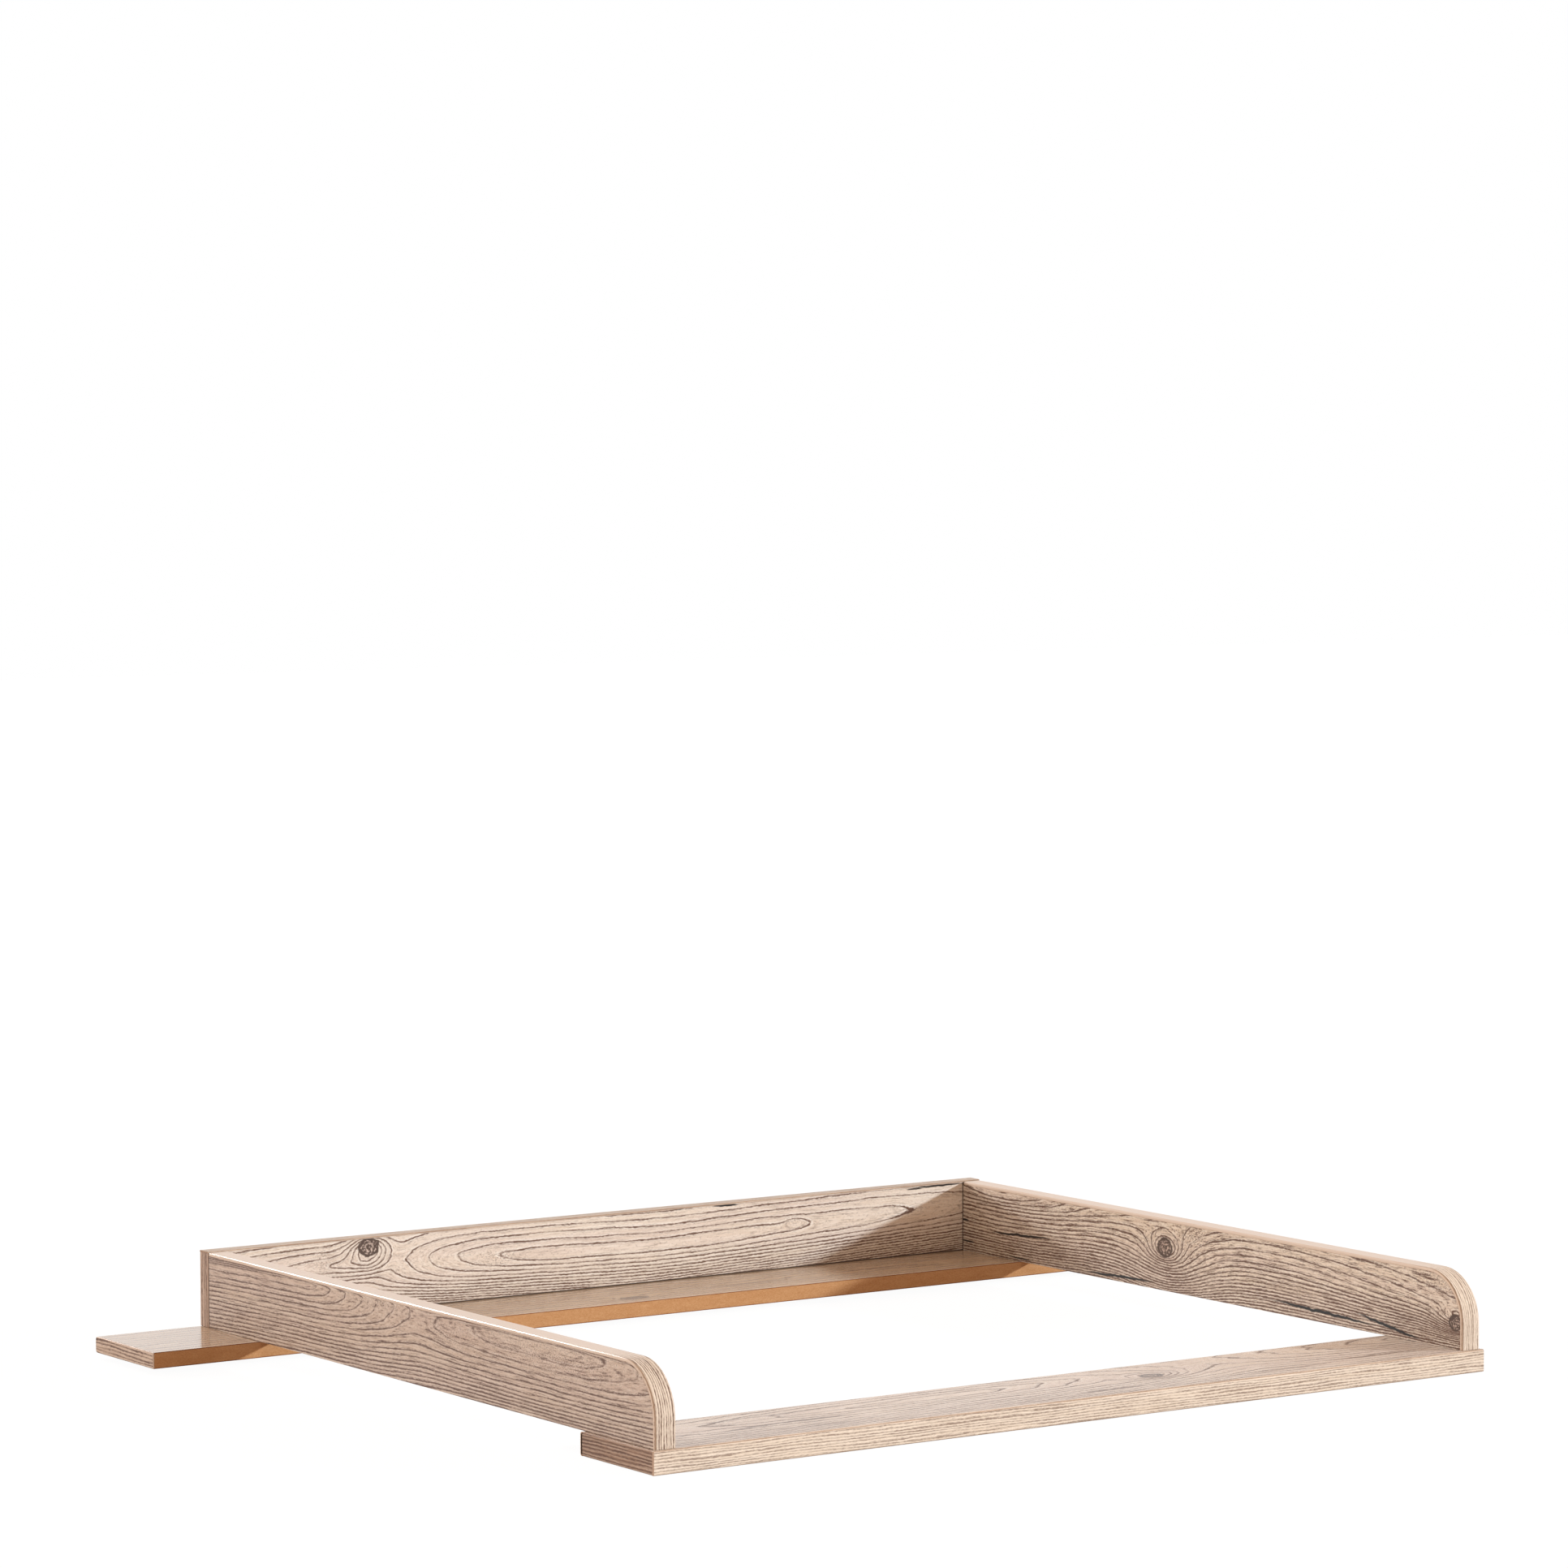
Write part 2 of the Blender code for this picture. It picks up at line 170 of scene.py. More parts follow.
class Nodes:
    """A node tree while it is being made."""

    def __init__(self, tree: bpy.types.NodeTree) -> None:
        """Takes a tree up and empties it."""
        self.tree = tree
        tree.nodes.clear()

    def add(self, kind: str, settings: Mapping[str, Any],
            values: Mapping[Union[str, int], Any]) -> bpy.types.Node:
        """Adds a node.

        Args:
            kind: the node's type.
            settings: its settings, set before its sockets.
            values: a value or a link for each socket, by name or by number.

        Returns:
            The new node.
        """
        node = self.tree.nodes.new(kind)
        for name, value in settings.items():
            setattr(node, name, value)
        for key, value in values.items():
            self.join(node.inputs[key], value)
        return node

    def join(self, socket: bpy.types.NodeSocket, value: Link) -> None:
        """Gives a socket its value or its link.

        Args:
            socket: the socket.
            value: a number, a row of numbers, a flow or another socket.
        """
        if isinstance(value, Flow):
            value = value.socket
        if isinstance(value, bpy.types.NodeSocket):
            self.tree.links.new(value, socket)
        elif isinstance(value, (tuple, list)) and socket.type == "RGBA":
            socket.default_value = (*value[:3], 1.0)
        else:
            socket.default_value = value


class Shader(Nodes):
    """The nodes of a material or of the world."""

    def object_place(self) -> bpy.types.NodeSocket:
        """Returns the place on the piece, in metres."""
        return self.add("ShaderNodeTexCoord", {}, {}).outputs["Object"]

    def object_normal(self) -> bpy.types.NodeSocket:
        """Returns the direction that the surface faces."""
        return self.add("ShaderNodeTexCoord", {}, {}).outputs["Normal"]

    def attribute(self, name: str) -> bpy.types.NodeSocket:
        """Returns a named attribute of the piece."""
        return self.add("ShaderNodeAttribute", {"attribute_name": name}, {}).outputs["Vector"]

    def parts(self, vector: bpy.types.NodeSocket) -> tuple[Flow, Flow, Flow]:
        """Splits a vector into its three numbers."""
        node = self.add("ShaderNodeSeparateXYZ", {}, {"Vector": vector})
        return tuple(Flow(self, socket) for socket in node.outputs)

    def vector(self, x: Number, y: Number, z: Number = 0.0) -> bpy.types.NodeSocket:
        """Joins three numbers into a vector."""
        return self.add("ShaderNodeCombineXYZ", {}, {0: x, 1: y, 2: z}).outputs["Vector"]

    def mapped(self, vector: bpy.types.NodeSocket, move: Place, scale: Place) -> bpy.types.NodeSocket:
        """Scales a vector, then moves it.

        Args:
            vector: the vector.
            move: what is added to it.
            scale: the factor along each axis.

        Returns:
            The mapped vector.
        """
        values = {"Vector": vector, "Location": move, "Scale": scale}
        return self.add("ShaderNodeMapping", {"vector_type": "POINT"}, values).outputs["Vector"]

    def square(self, vector: bpy.types.NodeSocket) -> Flow:
        """Returns a vector's length times itself."""
        node = self.add("ShaderNodeVectorMath", {"operation": "DOT_PRODUCT"}, {0: vector, 1: vector})
        return Flow(self, node.outputs["Value"])

    def noise(self, vector: bpy.types.NodeSocket, size: Place, seed: float, detail: float = 2.0,
              roughness: float = 0.5) -> Flow:
        """Adds a noise whose blotches have a given size.

        Args:
            vector: the place, in metres.
            size: a blotch's size along each axis, in metres.
            seed: moves the noise to another part of its pattern.
            detail: how many finer layers it has.
            roughness: how strong the finer layers are.

        Returns:
            The noise from -1 to 1.
        """
        away = (seed, seed * 1.7, seed * 0.6)
        spread = self.mapped(vector, away, tuple(1.0 / each for each in size))
        values = {"Vector": spread, "Scale": 1.0, "Detail": detail, "Roughness": roughness}
        node = self.add("ShaderNodeTexNoise", {"noise_dimensions": "3D"}, values)
        return Flow(self, node.outputs["Fac"]) * 2.0 - 1.0

    def blend(self, share: Number, first: Link, second: Link) -> bpy.types.NodeSocket:
        """Mixes two colours.

        Args:
            share: how much of the second colour shows, from 0 to 1.
            first: the first colour.
            second: the second colour.

        Returns:
            The mixed colour.
        """
        settings = {"data_type": "RGBA", "clamp_factor": True}
        return self.add("ShaderNodeMix", settings, {0: share, 6: first, 7: second}).outputs[2]

    def bump(self, height: Flow, depth: float, strength: float) -> bpy.types.NodeSocket:
        """Turns a height into a normal.

        Args:
            height: the height, from 0 to 1.
            depth: how far a height of 1 stands out, in metres.
            strength: how much of it shows.

        Returns:
            The normal.
        """
        values = {"Strength": strength, "Distance": depth, "Height": height}
        return self.add("ShaderNodeBump", {}, values).outputs["Normal"]


class Surface(Shader):
    """A material with one Principled shader."""

    def __init__(self, name: str) -> None:
        """Starts the material, its shader and its output."""
        self.material = bpy.data.materials.new(name)
        self.material.use_nodes = True
        super().__init__(self.material.node_tree)
        self.shader = self.add("ShaderNodeBsdfPrincipled", {}, {})
        self.output = self.add("ShaderNodeOutputMaterial", {}, {"Surface": self.shader.outputs["BSDF"]})

    def finished(self, values: Mapping[str, Link]) -> bpy.types.Material:
        """Gives the shader's sockets their values and links.

        Args:
            values: a value or a link for each socket, by name.

        Returns:
            The material.
        """
        for name, value in values.items():
            self.join(self.shader.inputs[name], value)
        return self.material


@dataclass(frozen=True)
class Heart:
    """The middle of a set of nested ovals, in millimetres.

    before and past are the reach of the first line to each side along the grain, above and below its reach
    across it, and the other numbers bend, blunt and crowd the lines outside it.
    """

    along: float
    across: float
    before: float
    past: float
    above: float
    below: float
    start: float = 0.0
    blunt_before: float = 1.0
    blunt_past: float = 1.0
    rise_before: float = 0.0
    rise_past: float = 0.0
    crowding: float = 0.0


@dataclass(frozen=True)
class Swell:
    """A place where the lines part round an oval: positive or negative rings, fading with distance."""

    along: float
    across: float
    length: float
    height: float
    rings: float


@dataclass(frozen=True)
class Knot:
    """A round branch mark with rings of its own."""

    along: float
    across: float
    length: float
    height: float
    depth: float = 1.0


@dataclass(frozen=True)
class Crack:
    """A dark split that runs nearly along the grain, and how deep its colour is."""

    along: float
    across: float
    length: float
    width: float
    turn: float = 0.0
    depth: float = 1.0


@dataclass(frozen=True)
class Seam:
    """A line where the foil ends: on which axis of the face, where, how wide, how deep, and pale or dark; a pale
    line is a painted highlight along the foil's edge.
    """

    across: bool
    place: float
    width: float
    depth: float = 0.9
    # a pale seam is drawn in the painted highlight colour, where the foil edge catches the light
    pale: bool = False


@dataclass(frozen=True)
class Lines:
    """The growth lines at each place of a face.

    They are counted by rings, with density of them in a millimetre. steep says how far they turn across the
    grain, distance how far apart they usually are, specked where they break up, and bold how wide they are.
    """

    rings: Flow
    density: Number
    steep: Number
    distance: float
    specked: Number
    bold: float = 1.0


@dataclass(frozen=True)
class Figure:
    """How the growth lines run over one decor face, in millimetres."""

    spacing: float = 9.0
    crowding: float = 0.0
    top: float = 100.0
    contrast: float = 1.0
    waves: float = 1.0
    meeting: float = 1.5
    distance: float = 6.0
    strokes: float = 0.5
    seed: float = 0.0
    # tone multiplier of the face; on the side rails and the rear board it also holds painted shade and painted
    # light, darkening or lightening a board for how the light falls on it
    shade: Colour = (1.0, 1.0, 1.0)
    gloss: float = 0.33
    mirror: float = 0.5
    hearts: tuple[Heart, ...] = ()
    swells: tuple[Swell, ...] = ()
    patches: tuple[Swell, ...] = ()
    knots: tuple[Knot, ...] = ()
    cracks: tuple[Crack, ...] = ()
    seams: tuple[Seam, ...] = ()
    skins: tuple[float, ...] = ()
    split: Colour = (0.012, 0.010, 0.009)
    bold: float = 1.0
    waver: float = 1.0
    coat: float = 0.0


@dataclass(frozen=True)
class Grit:
    """A noise over a face: its blotches' length and height in millimetres, and how they are drawn."""

    length: float
    height: float
    pick: float
    detail: float = 2.0
    roughness: float = 0.5


class Face:
    """The place on a printed face, in millimetres, while its pattern is drawn."""

    def __init__(self, shader: Shader, along: Flow, across: Flow, seed: float) -> None:
        """Joins the place along and across the grain; the seed picks the face's patterns."""
        self.shader, self.along, self.across, self.seed = shader, along, across, seed
        self.plane = shader.vector(along, across)

    def noise(self, grit: Grit, over: Optional[bpy.types.NodeSocket] = None, more: float = 0.0) -> Flow:
        """Draws a noise.

        Args:
            grit: the noise.
            over: the vector that it follows, or none for the face's own plane.
            more: moves it to another part of its pattern.

        Returns:
            The noise from -1 to 1.
        """
        size = (grit.length, grit.height, 1.0)
        vector = self.plane if over is None else over
        return self.shader.noise(vector, size, self.seed + grit.pick + more, grit.detail, grit.roughness)

    def oval(self, spot: Union[Swell, Knot], left: float = 0.0, down: float = 0.0) -> bpy.types.NodeSocket:
        """Returns the way from a spot in units of its size, moved left and down by as many."""
        scale = (1.0 / spot.length, 1.0 / spot.height, 0.0)
        middle = (left - spot.along * scale[0], down - spot.across * scale[1], 0.0)
        return self.shader.mapped(self.plane, middle, scale)

    def hump(self, swell: Swell) -> Flow:
        """Returns 1 in the middle of a swell, falling to 0 round it."""
        return (-self.shader.square(self.oval(swell))).exp()


def shaded(tone: Colour, shade: Colour) -> Colour:
    """Returns a colour times another."""
    return tuple(one * other for one, other in zip(tone, shade))


class Run(Enum):
    """The way that lines lie: axis along them, axis across, axis that the printed faces look along."""

    BACKWARD = (1, 2, 0)
    SIDEWAYS = (0, 2, 1)
    FLAT = (0, 1, 2)
    UPWARD = (2, 1, 0)


@dataclass(frozen=True)
class RawFibreboard:
    """The raw edge of a fibreboard core."""

    tone: Colour = (0.54, 0.302, 0.146)
    dark: Colour = (0.37, 0.160, 0.056)
    skin: Colour = (0.13, 0.026, 0.008)
    roughness: float = 0.82
    skin_width: float = 0.7

    def colour(self, shader: Shader, place: bpy.types.NodeSocket) -> tuple[bpy.types.NodeSocket, Flow]:
        """Makes the felted look of pressed fibres.

        Args:
            shader: the material that it goes into.
            place: the place on the piece.

        Returns:
            The colour, and the height of the fibres.
        """
        clouds = shader.noise(place, (0.018, 0.018, 0.004), 3.0, 3.0, 0.6)
        fibres = shader.noise(place, (0.0016, 0.0016, 0.0007), 9.0, 4.0, 0.75)
        share = (clouds * 0.35 + fibres * 1.1 + 0.38).most(0.0)
        return shader.blend(share, self.tone, self.dark), fibres


@dataclass(frozen=True)
class OakDecor:
    """Printed and lightly embossed oak foil."""

    pale: Colour = (0.790, 0.665, 0.556)
    tan: Colour = (0.700, 0.550, 0.425)
    rosy: Colour = (0.677, 0.531, 0.447)
    line: Colour = (0.135, 0.074, 0.052)
    heart: Colour = (0.080, 0.050, 0.038)
    seam: Colour = (0.055, 0.035, 0.026)
    line_edge: float = 0.48
    line_fade: float = 0.42
    lane_length: float = 70.0
    lane_step: float = 3.7
    force_spread: float = 1.3
    force_middle: float = 0.82
    weakest: float = 0.18
    strongest: float = 1.15
    ribbon: float = 0.4
    long_waves: Grit = Grit(150.0, 22.0, 1.0, 1.0)
    long_wave: float = 0.34
    short_waves: Grit = Grit(44.0, 11.0, 2.0, 1.0)
    short_wave: float = 0.2
    slow_wavers: Grit = Grit(13.0, 6.0, 3.0, 2.0, 0.6)
    slow_waver: float = 0.9
    quick_wavers: Grit = Grit(3.0, 1.6, 3.5, 2.0, 0.65)
    quick_waver: float = 0.8
    waver_limit: float = 0.4
    softest: float = 0.05
    pore_reach: float = 2.0
    pore_strength: float = 0.6
    dashes: Grit = Grit(5.5, 0.8, 4.0, 2.0, 0.6)
    specks: Grit = Grit(2.8, 0.6, 5.0, 1.0)
    speck_strength: float = 0.2
    breaks: Grit = Grit(3.6, 1.8, 5.5)
    dots: Grit = Grit(1.9, 1.2, 5.7, 1.0)
    dot_strength: float = 0.5
    streaks: Grit = Grit(26.0, 1.0, 6.5, 3.0, 0.7)
    dark_streak: float = 1.5
    light_streak: float = 2.2
    knot_wobble: Grit = Grit(6.0, 5.0, 6.0)
    knot_cells: Grit = Grit(2.3, 1.9, 7.0)
    crack_edge: Grit = Grit(9.0, 30.0, 8.0)
    broad_tones: Grit = Grit(170.0, 14.0, 10.0)
    strip_tones: Grit = Grit(80.0, 2.2, 10.5, 2.0, 0.6)
    streak_tones: Grit = Grit(30.0, 1.1, 11.0, 3.0, 0.6)
    rosy_tones: Grit = Grit(260.0, 22.0, 12.0, 1.0)
    rubbed: Grit = Grit(60.0, 24.0, 13.0, 3.0)
    halo_place: float = 1.45
    halo_width: float = 0.6
    halo: Colour = (0.90, 0.83, 0.75)
    bend: float = 30.0
    middle_reach: float = 0.2
    # painted highlight: the near-white colour of the pale seams along a foil edge
    painted_highlight: Colour = (0.97, 0.95, 0.93)
    coat_roughness: float = 0.12
    emboss: float = 0.00012
    emboss_strength: float = 0.35
    far_face_shift: float = 373.0
    probe: float = 0.5

    def nested(self, face: Face, heart: Heart) -> Flow:
        """Returns a count of the lines round one heart."""
        off = face.along - heart.along
        before = (-off).most(0.0)
        past = off.most(0.0)
        level = face.across - heart.across
        for side, rise in ((before, heart.rise_before), (past, heart.rise_past)):
            if rise:
                level = level - ((side * side + self.bend * self.bend) ** 0.5 - self.bend) * rise
        reach = (before / heart.before) ** heart.blunt_before + (past / heart.past) ** heart.blunt_past
        above = level.most(0.0)
        below = (-level).most(0.0)
        tall = above / heart.above + below / heart.below
        if heart.crowding:
            tall = tall + below * below * (heart.crowding / 1000.0)
        return (reach * reach + tall * tall).most(self.middle_reach) ** 0.5 + heart.start

    def rings(self, face: Face, figure: Figure) -> Flow:
        """Returns a count of the growth lines over a face, without their fine waver."""
        if figure.hearts:
            count = self.nested(face, figure.hearts[0])
            for heart in figure.hearts[1:]:
                count = count.joined(self.nested(face, heart), figure.meeting)
        else:
            down = figure.top - face.across
            count = down / figure.spacing + down * down * (figure.crowding / 1000.0)
        for swell in figure.swells:
            count = count + swell.rings * face.hump(swell)
        count = count + figure.waves * self.long_wave * face.noise(self.long_waves)
        return count + figure.waves * self.short_wave * face.noise(self.short_waves)

    def growth(self, face: Face, figure: Figure) -> Lines:
        """Lays the growth lines over a face.

        Args:
            face: the face.
            figure: how the lines run on it.

        Returns:
            The lines, with the density and slope that their count's own gradient gives.
        """
        rings = self.rings(face, figure)
        above = Face(face.shader, face.along, face.across + self.probe, face.seed)
        beside = Face(face.shader, face.along + self.probe, face.across, face.seed)
        up = self.rings(above, figure) - rings
        on = self.rings(beside, figure) - rings
        slope = up * up + on * on
        density = (slope ** 0.5 / self.probe).most(self.softest)
        steep = on * on / (slope + 0.00001)
        waver = face.noise(self.slow_wavers) * self.slow_waver + face.noise(self.quick_wavers) * self.quick_waver
        rings = rings + figure.waver * (waver * density.least(self.waver_limit))
        specked: Number = 0.0
        for patch in figure.patches:
            specked = face.hump(patch) * patch.rings + specked
        return Lines(rings, density, steep, figure.distance, specked, figure.bold)

    def flow(self, face: Face, lines: Lines) -> bpy.types.NodeSocket:
        """Returns the place on a face whose second number follows the growth lines."""
        return face.shader.vector(face.along, lines.rings * lines.distance, face.across * self.ribbon)

    def grain(self, face: Face, lines: Lines, strokes: float) -> tuple[Flow, Flow]:
        """Draws the growth lines, the strokes between them and the pores.

        Args:
            face: the face.
            lines: its growth lines.
            strokes: how bold the fine strokes are.

        Returns:
            How dark the grain is, and how light its bright strokes are.
        """
        shader = face.shader
        number = (lines.rings + 0.5).floor()
        off = ((lines.rings + 0.5).fract() - 0.5) / lines.density / lines.bold
        lane = shader.vector(face.along / self.lane_length, number * self.lane_step, face.seed)
        force = shader.noise(lane, (1.0, 1.0, 1.0), face.seed, 3.0, 0.6) * self.force_spread + self.force_middle
        force = force.most(self.weakest).least(self.strongest)
        after = off.step(0.2, -0.2)
        close = off / (after * self.line_fade + self.line_edge)
        far = abs(off)
        flow = self.flow(face, lines)
        dashes = face.noise(self.dashes, flow).step(-0.05, 0.3)
        specks = face.noise(self.specks, flow).step(0.14, 0.42)
        broken = face.noise(self.breaks) * 0.9 + 0.84
        dots = face.noise(self.dots).step(0.02, 0.3)
        core = (-(close * close)).exp() * broken.most(0.25)
        core = core * (1.0 - lines.steep * 0.25) * (1.0 - lines.specked * 0.8)
        soft = (-(far / (after * self.pore_reach + 0.7))).exp() * dashes * (1.0 - lines.specked * 0.6)
        stroke = face.noise(self.streaks, flow) * strokes
        dark = core * force + soft * force * self.pore_strength + specks * self.speck_strength
        dark = dark + (stroke - 0.03).most(0.0) * self.dark_streak + lines.specked * dots * self.dot_strength
        halo = (far - self.halo_place) / self.halo_width
        light = (-(halo * halo)).exp() * force * 0.8 + (-stroke - 0.02).most(0.0) * self.light_streak
        dark = dark.least(1.0)
        return dark, light.least(1.0) * (1.0 - dark * 0.7)

    def knot(self, face: Face, knot: Knot, number: int) -> tuple[Flow, Flow]:
        """Draws one knot.

        Args:
            face: the face.
            knot: the knot's place and size.
            number: picks the pattern of its rings.

        Returns:
            Where the knot is, and how dark it is there.
        """
        wobble = face.noise(self.knot_wobble, more=number) * 0.2
        reach = face.shader.square(face.oval(knot)) ** 0.5 + wobble
        turned = face.shader.square(face.oval(knot, 0.5, 0.35)) ** 0.5 + wobble * 1.6
        cells = face.noise(self.knot_cells, more=number)
        rim = abs(reach - 0.92).step(0.24, 0.08) * (cells * 0.6 + 0.9)
        rings = abs((reach * 2.4 + 0.1).fract() - 0.5).step(0.32, 0.12)
        hatch = abs((turned * 2.7).fract() - 0.5).step(0.27, 0.1)
        dark = rings * 0.6 + hatch * 0.6 + rim * 1.1 + cells.step(-0.25, 0.3) * 0.7 - 0.1
        return reach.step(1.1, 0.98) * knot.depth, dark.most(0.0).least(1.0)

    def crack_share(self, face: Face, crack: Crack, number: int) -> Flow:
        """Draws one split.

        Args:
            face: the face.
            crack: the split's place and size.
            number: picks the pattern of its edges.

        Returns:
            Where the split is.
        """
        off = face.across - crack.across - (face.along - crack.along) * math.tan(math.radians(crack.turn))
        off = off + face.noise(self.crack_edge, more=number) * crack.width * 0.9
        far = (face.along - crack.along) / crack.length
        return (far * far + (off / crack.width) * (off / crack.width)).step(1.0, 0.35)

    def ground(self, face: Face, lines: Lines, shade: Colour) -> bpy.types.NodeSocket:
        """Makes the tones between the lines.

        Args:
            face: the face.
            lines: its growth lines.
            shade: what its tones are multiplied by, which on the side rails and the rear board includes painted
                shade and painted light.

        Returns:
            The colour.
        """
        pale, tan, rosy_tone = (shaded(tone, shade) for tone in (self.pale, self.tan, self.rosy))
        flow = self.flow(face, lines)
        broad = face.noise(self.broad_tones) * 0.7 + 0.45
        strip = face.noise(self.strip_tones, flow) * 1.1
        streak = face.noise(self.streak_tones, flow) * 1.2 + 0.3
        rosy = face.noise(self.rosy_tones) * 1.2 + 0.25
        blend = face.shader.blend
        colour = blend(rosy.least(0.6), blend(broad + strip, pale, tan), rosy_tone)
        return blend((streak * 0.35).most(0.0), colour, shaded(tan, (0.76, 0.76, 0.76)))

    def marked(self, face: Face, figure: Figure, colour: Link) -> tuple[Link, Number]:
        """Draws the knots and the splits over the grain.

        Args:
            face: the face.
            figure: its knots and splits.
            colour: the colour of its grain.

        Returns:
            The colour with its marks, and how deep the splits are.
        """
        blend = face.shader.blend
        for number, knot in enumerate(figure.knots):
            inside, depth = self.knot(face, knot, number)
            body = blend(depth, shaded(self.rosy, (0.82, 0.82, 0.82)), self.heart)
            colour = blend(inside, colour, body)
        split: Number = 0.0
        for number, crack in enumerate(figure.cracks):
            split = (self.crack_share(face, crack, number) * crack.depth).most(split)
        if figure.cracks:
            colour = blend(split, colour, figure.split)
        return colour, split

    def dress(self, name: str, run: Run, figure: Figure, shown: float, raw: RawFibreboard) -> bpy.types.Material:
        """Makes the material of one board: decor on its two faces, raw core on its edges.

        Args:
            name: the material's name.
            run: the way the board's grain lies.
            figure: how the growth lines run on the shown face.
            shown: 1 or -1, the side of the board that shows the figure; the other side has it moved along.
            raw: the finish of the core.

        Returns:
            The material.
        """
        shader = Surface(name)
        place = shader.object_place()
        grain_axis, across_axis, face_axis = run.value
        coordinates = shader.parts(place)
        facing = shader.parts(shader.object_normal())[face_axis]
        away = (facing * -shown).step(-0.2, 0.2)
        straight = coordinates[grain_axis] * MILLIMETRES
        across = coordinates[across_axis] * MILLIMETRES
        face = Face(shader, straight + away * self.far_face_shift, across, figure.seed)
        lines = self.growth(face, figure)
        dark, light = self.grain(face, lines, figure.strokes)
        colour = self.ground(face, lines, figure.shade)
        colour = shader.blend(light * 0.5, colour, shaded(self.halo, figure.shade))
        colour = shader.blend(dark * figure.contrast, colour, self.line)
        colour, split = self.marked(face, figure, colour)
        for seam in figure.seams:
            far = abs((across if seam.across else straight) - seam.place)
            share = far.step(seam.width, seam.width * 0.55) * (1.0 - away) * seam.depth
            # pale seams paint a highlight along the foil edge; dark seams are the foil's dark edge
            colour = shader.blend(share, colour, self.painted_highlight if seam.pale else self.seam)
        core, fibres = raw.colour(shader, place)
        for skin in figure.skins:
            far = abs(coordinates[face_axis] * MILLIMETRES - skin)
            core = shader.blend(far.step(raw.skin_width * 1.6, raw.skin_width * 0.6) * 0.75, core, raw.skin)
        edge = abs(facing).step(0.6, 0.4)
        height = (1.0 - dark * 0.8 - split) * (1.0 - edge) + fibres * edge * 0.3
        gloss = figure.gloss + dark * 0.12 + face.noise(self.rubbed) * 0.03
        values = {"Base Color": shader.blend(edge, colour, core),
                  "Normal": shader.bump(height, self.emboss, self.emboss_strength),
                  "Specular IOR Level": figure.mirror,
                  "Roughness": gloss + edge * (raw.roughness - figure.gloss)}
        if figure.coat:
            values |= {"Coat Weight": (1.0 - edge) * figure.coat, "Coat Roughness": self.coat_roughness}
        return shader.finished(values)


@dataclass(frozen=True)
class Section:
    """An edge band's section: its width, its thickness and the radius of its outer arrises, in metres."""

    width: float
    thickness: float
    arris: float


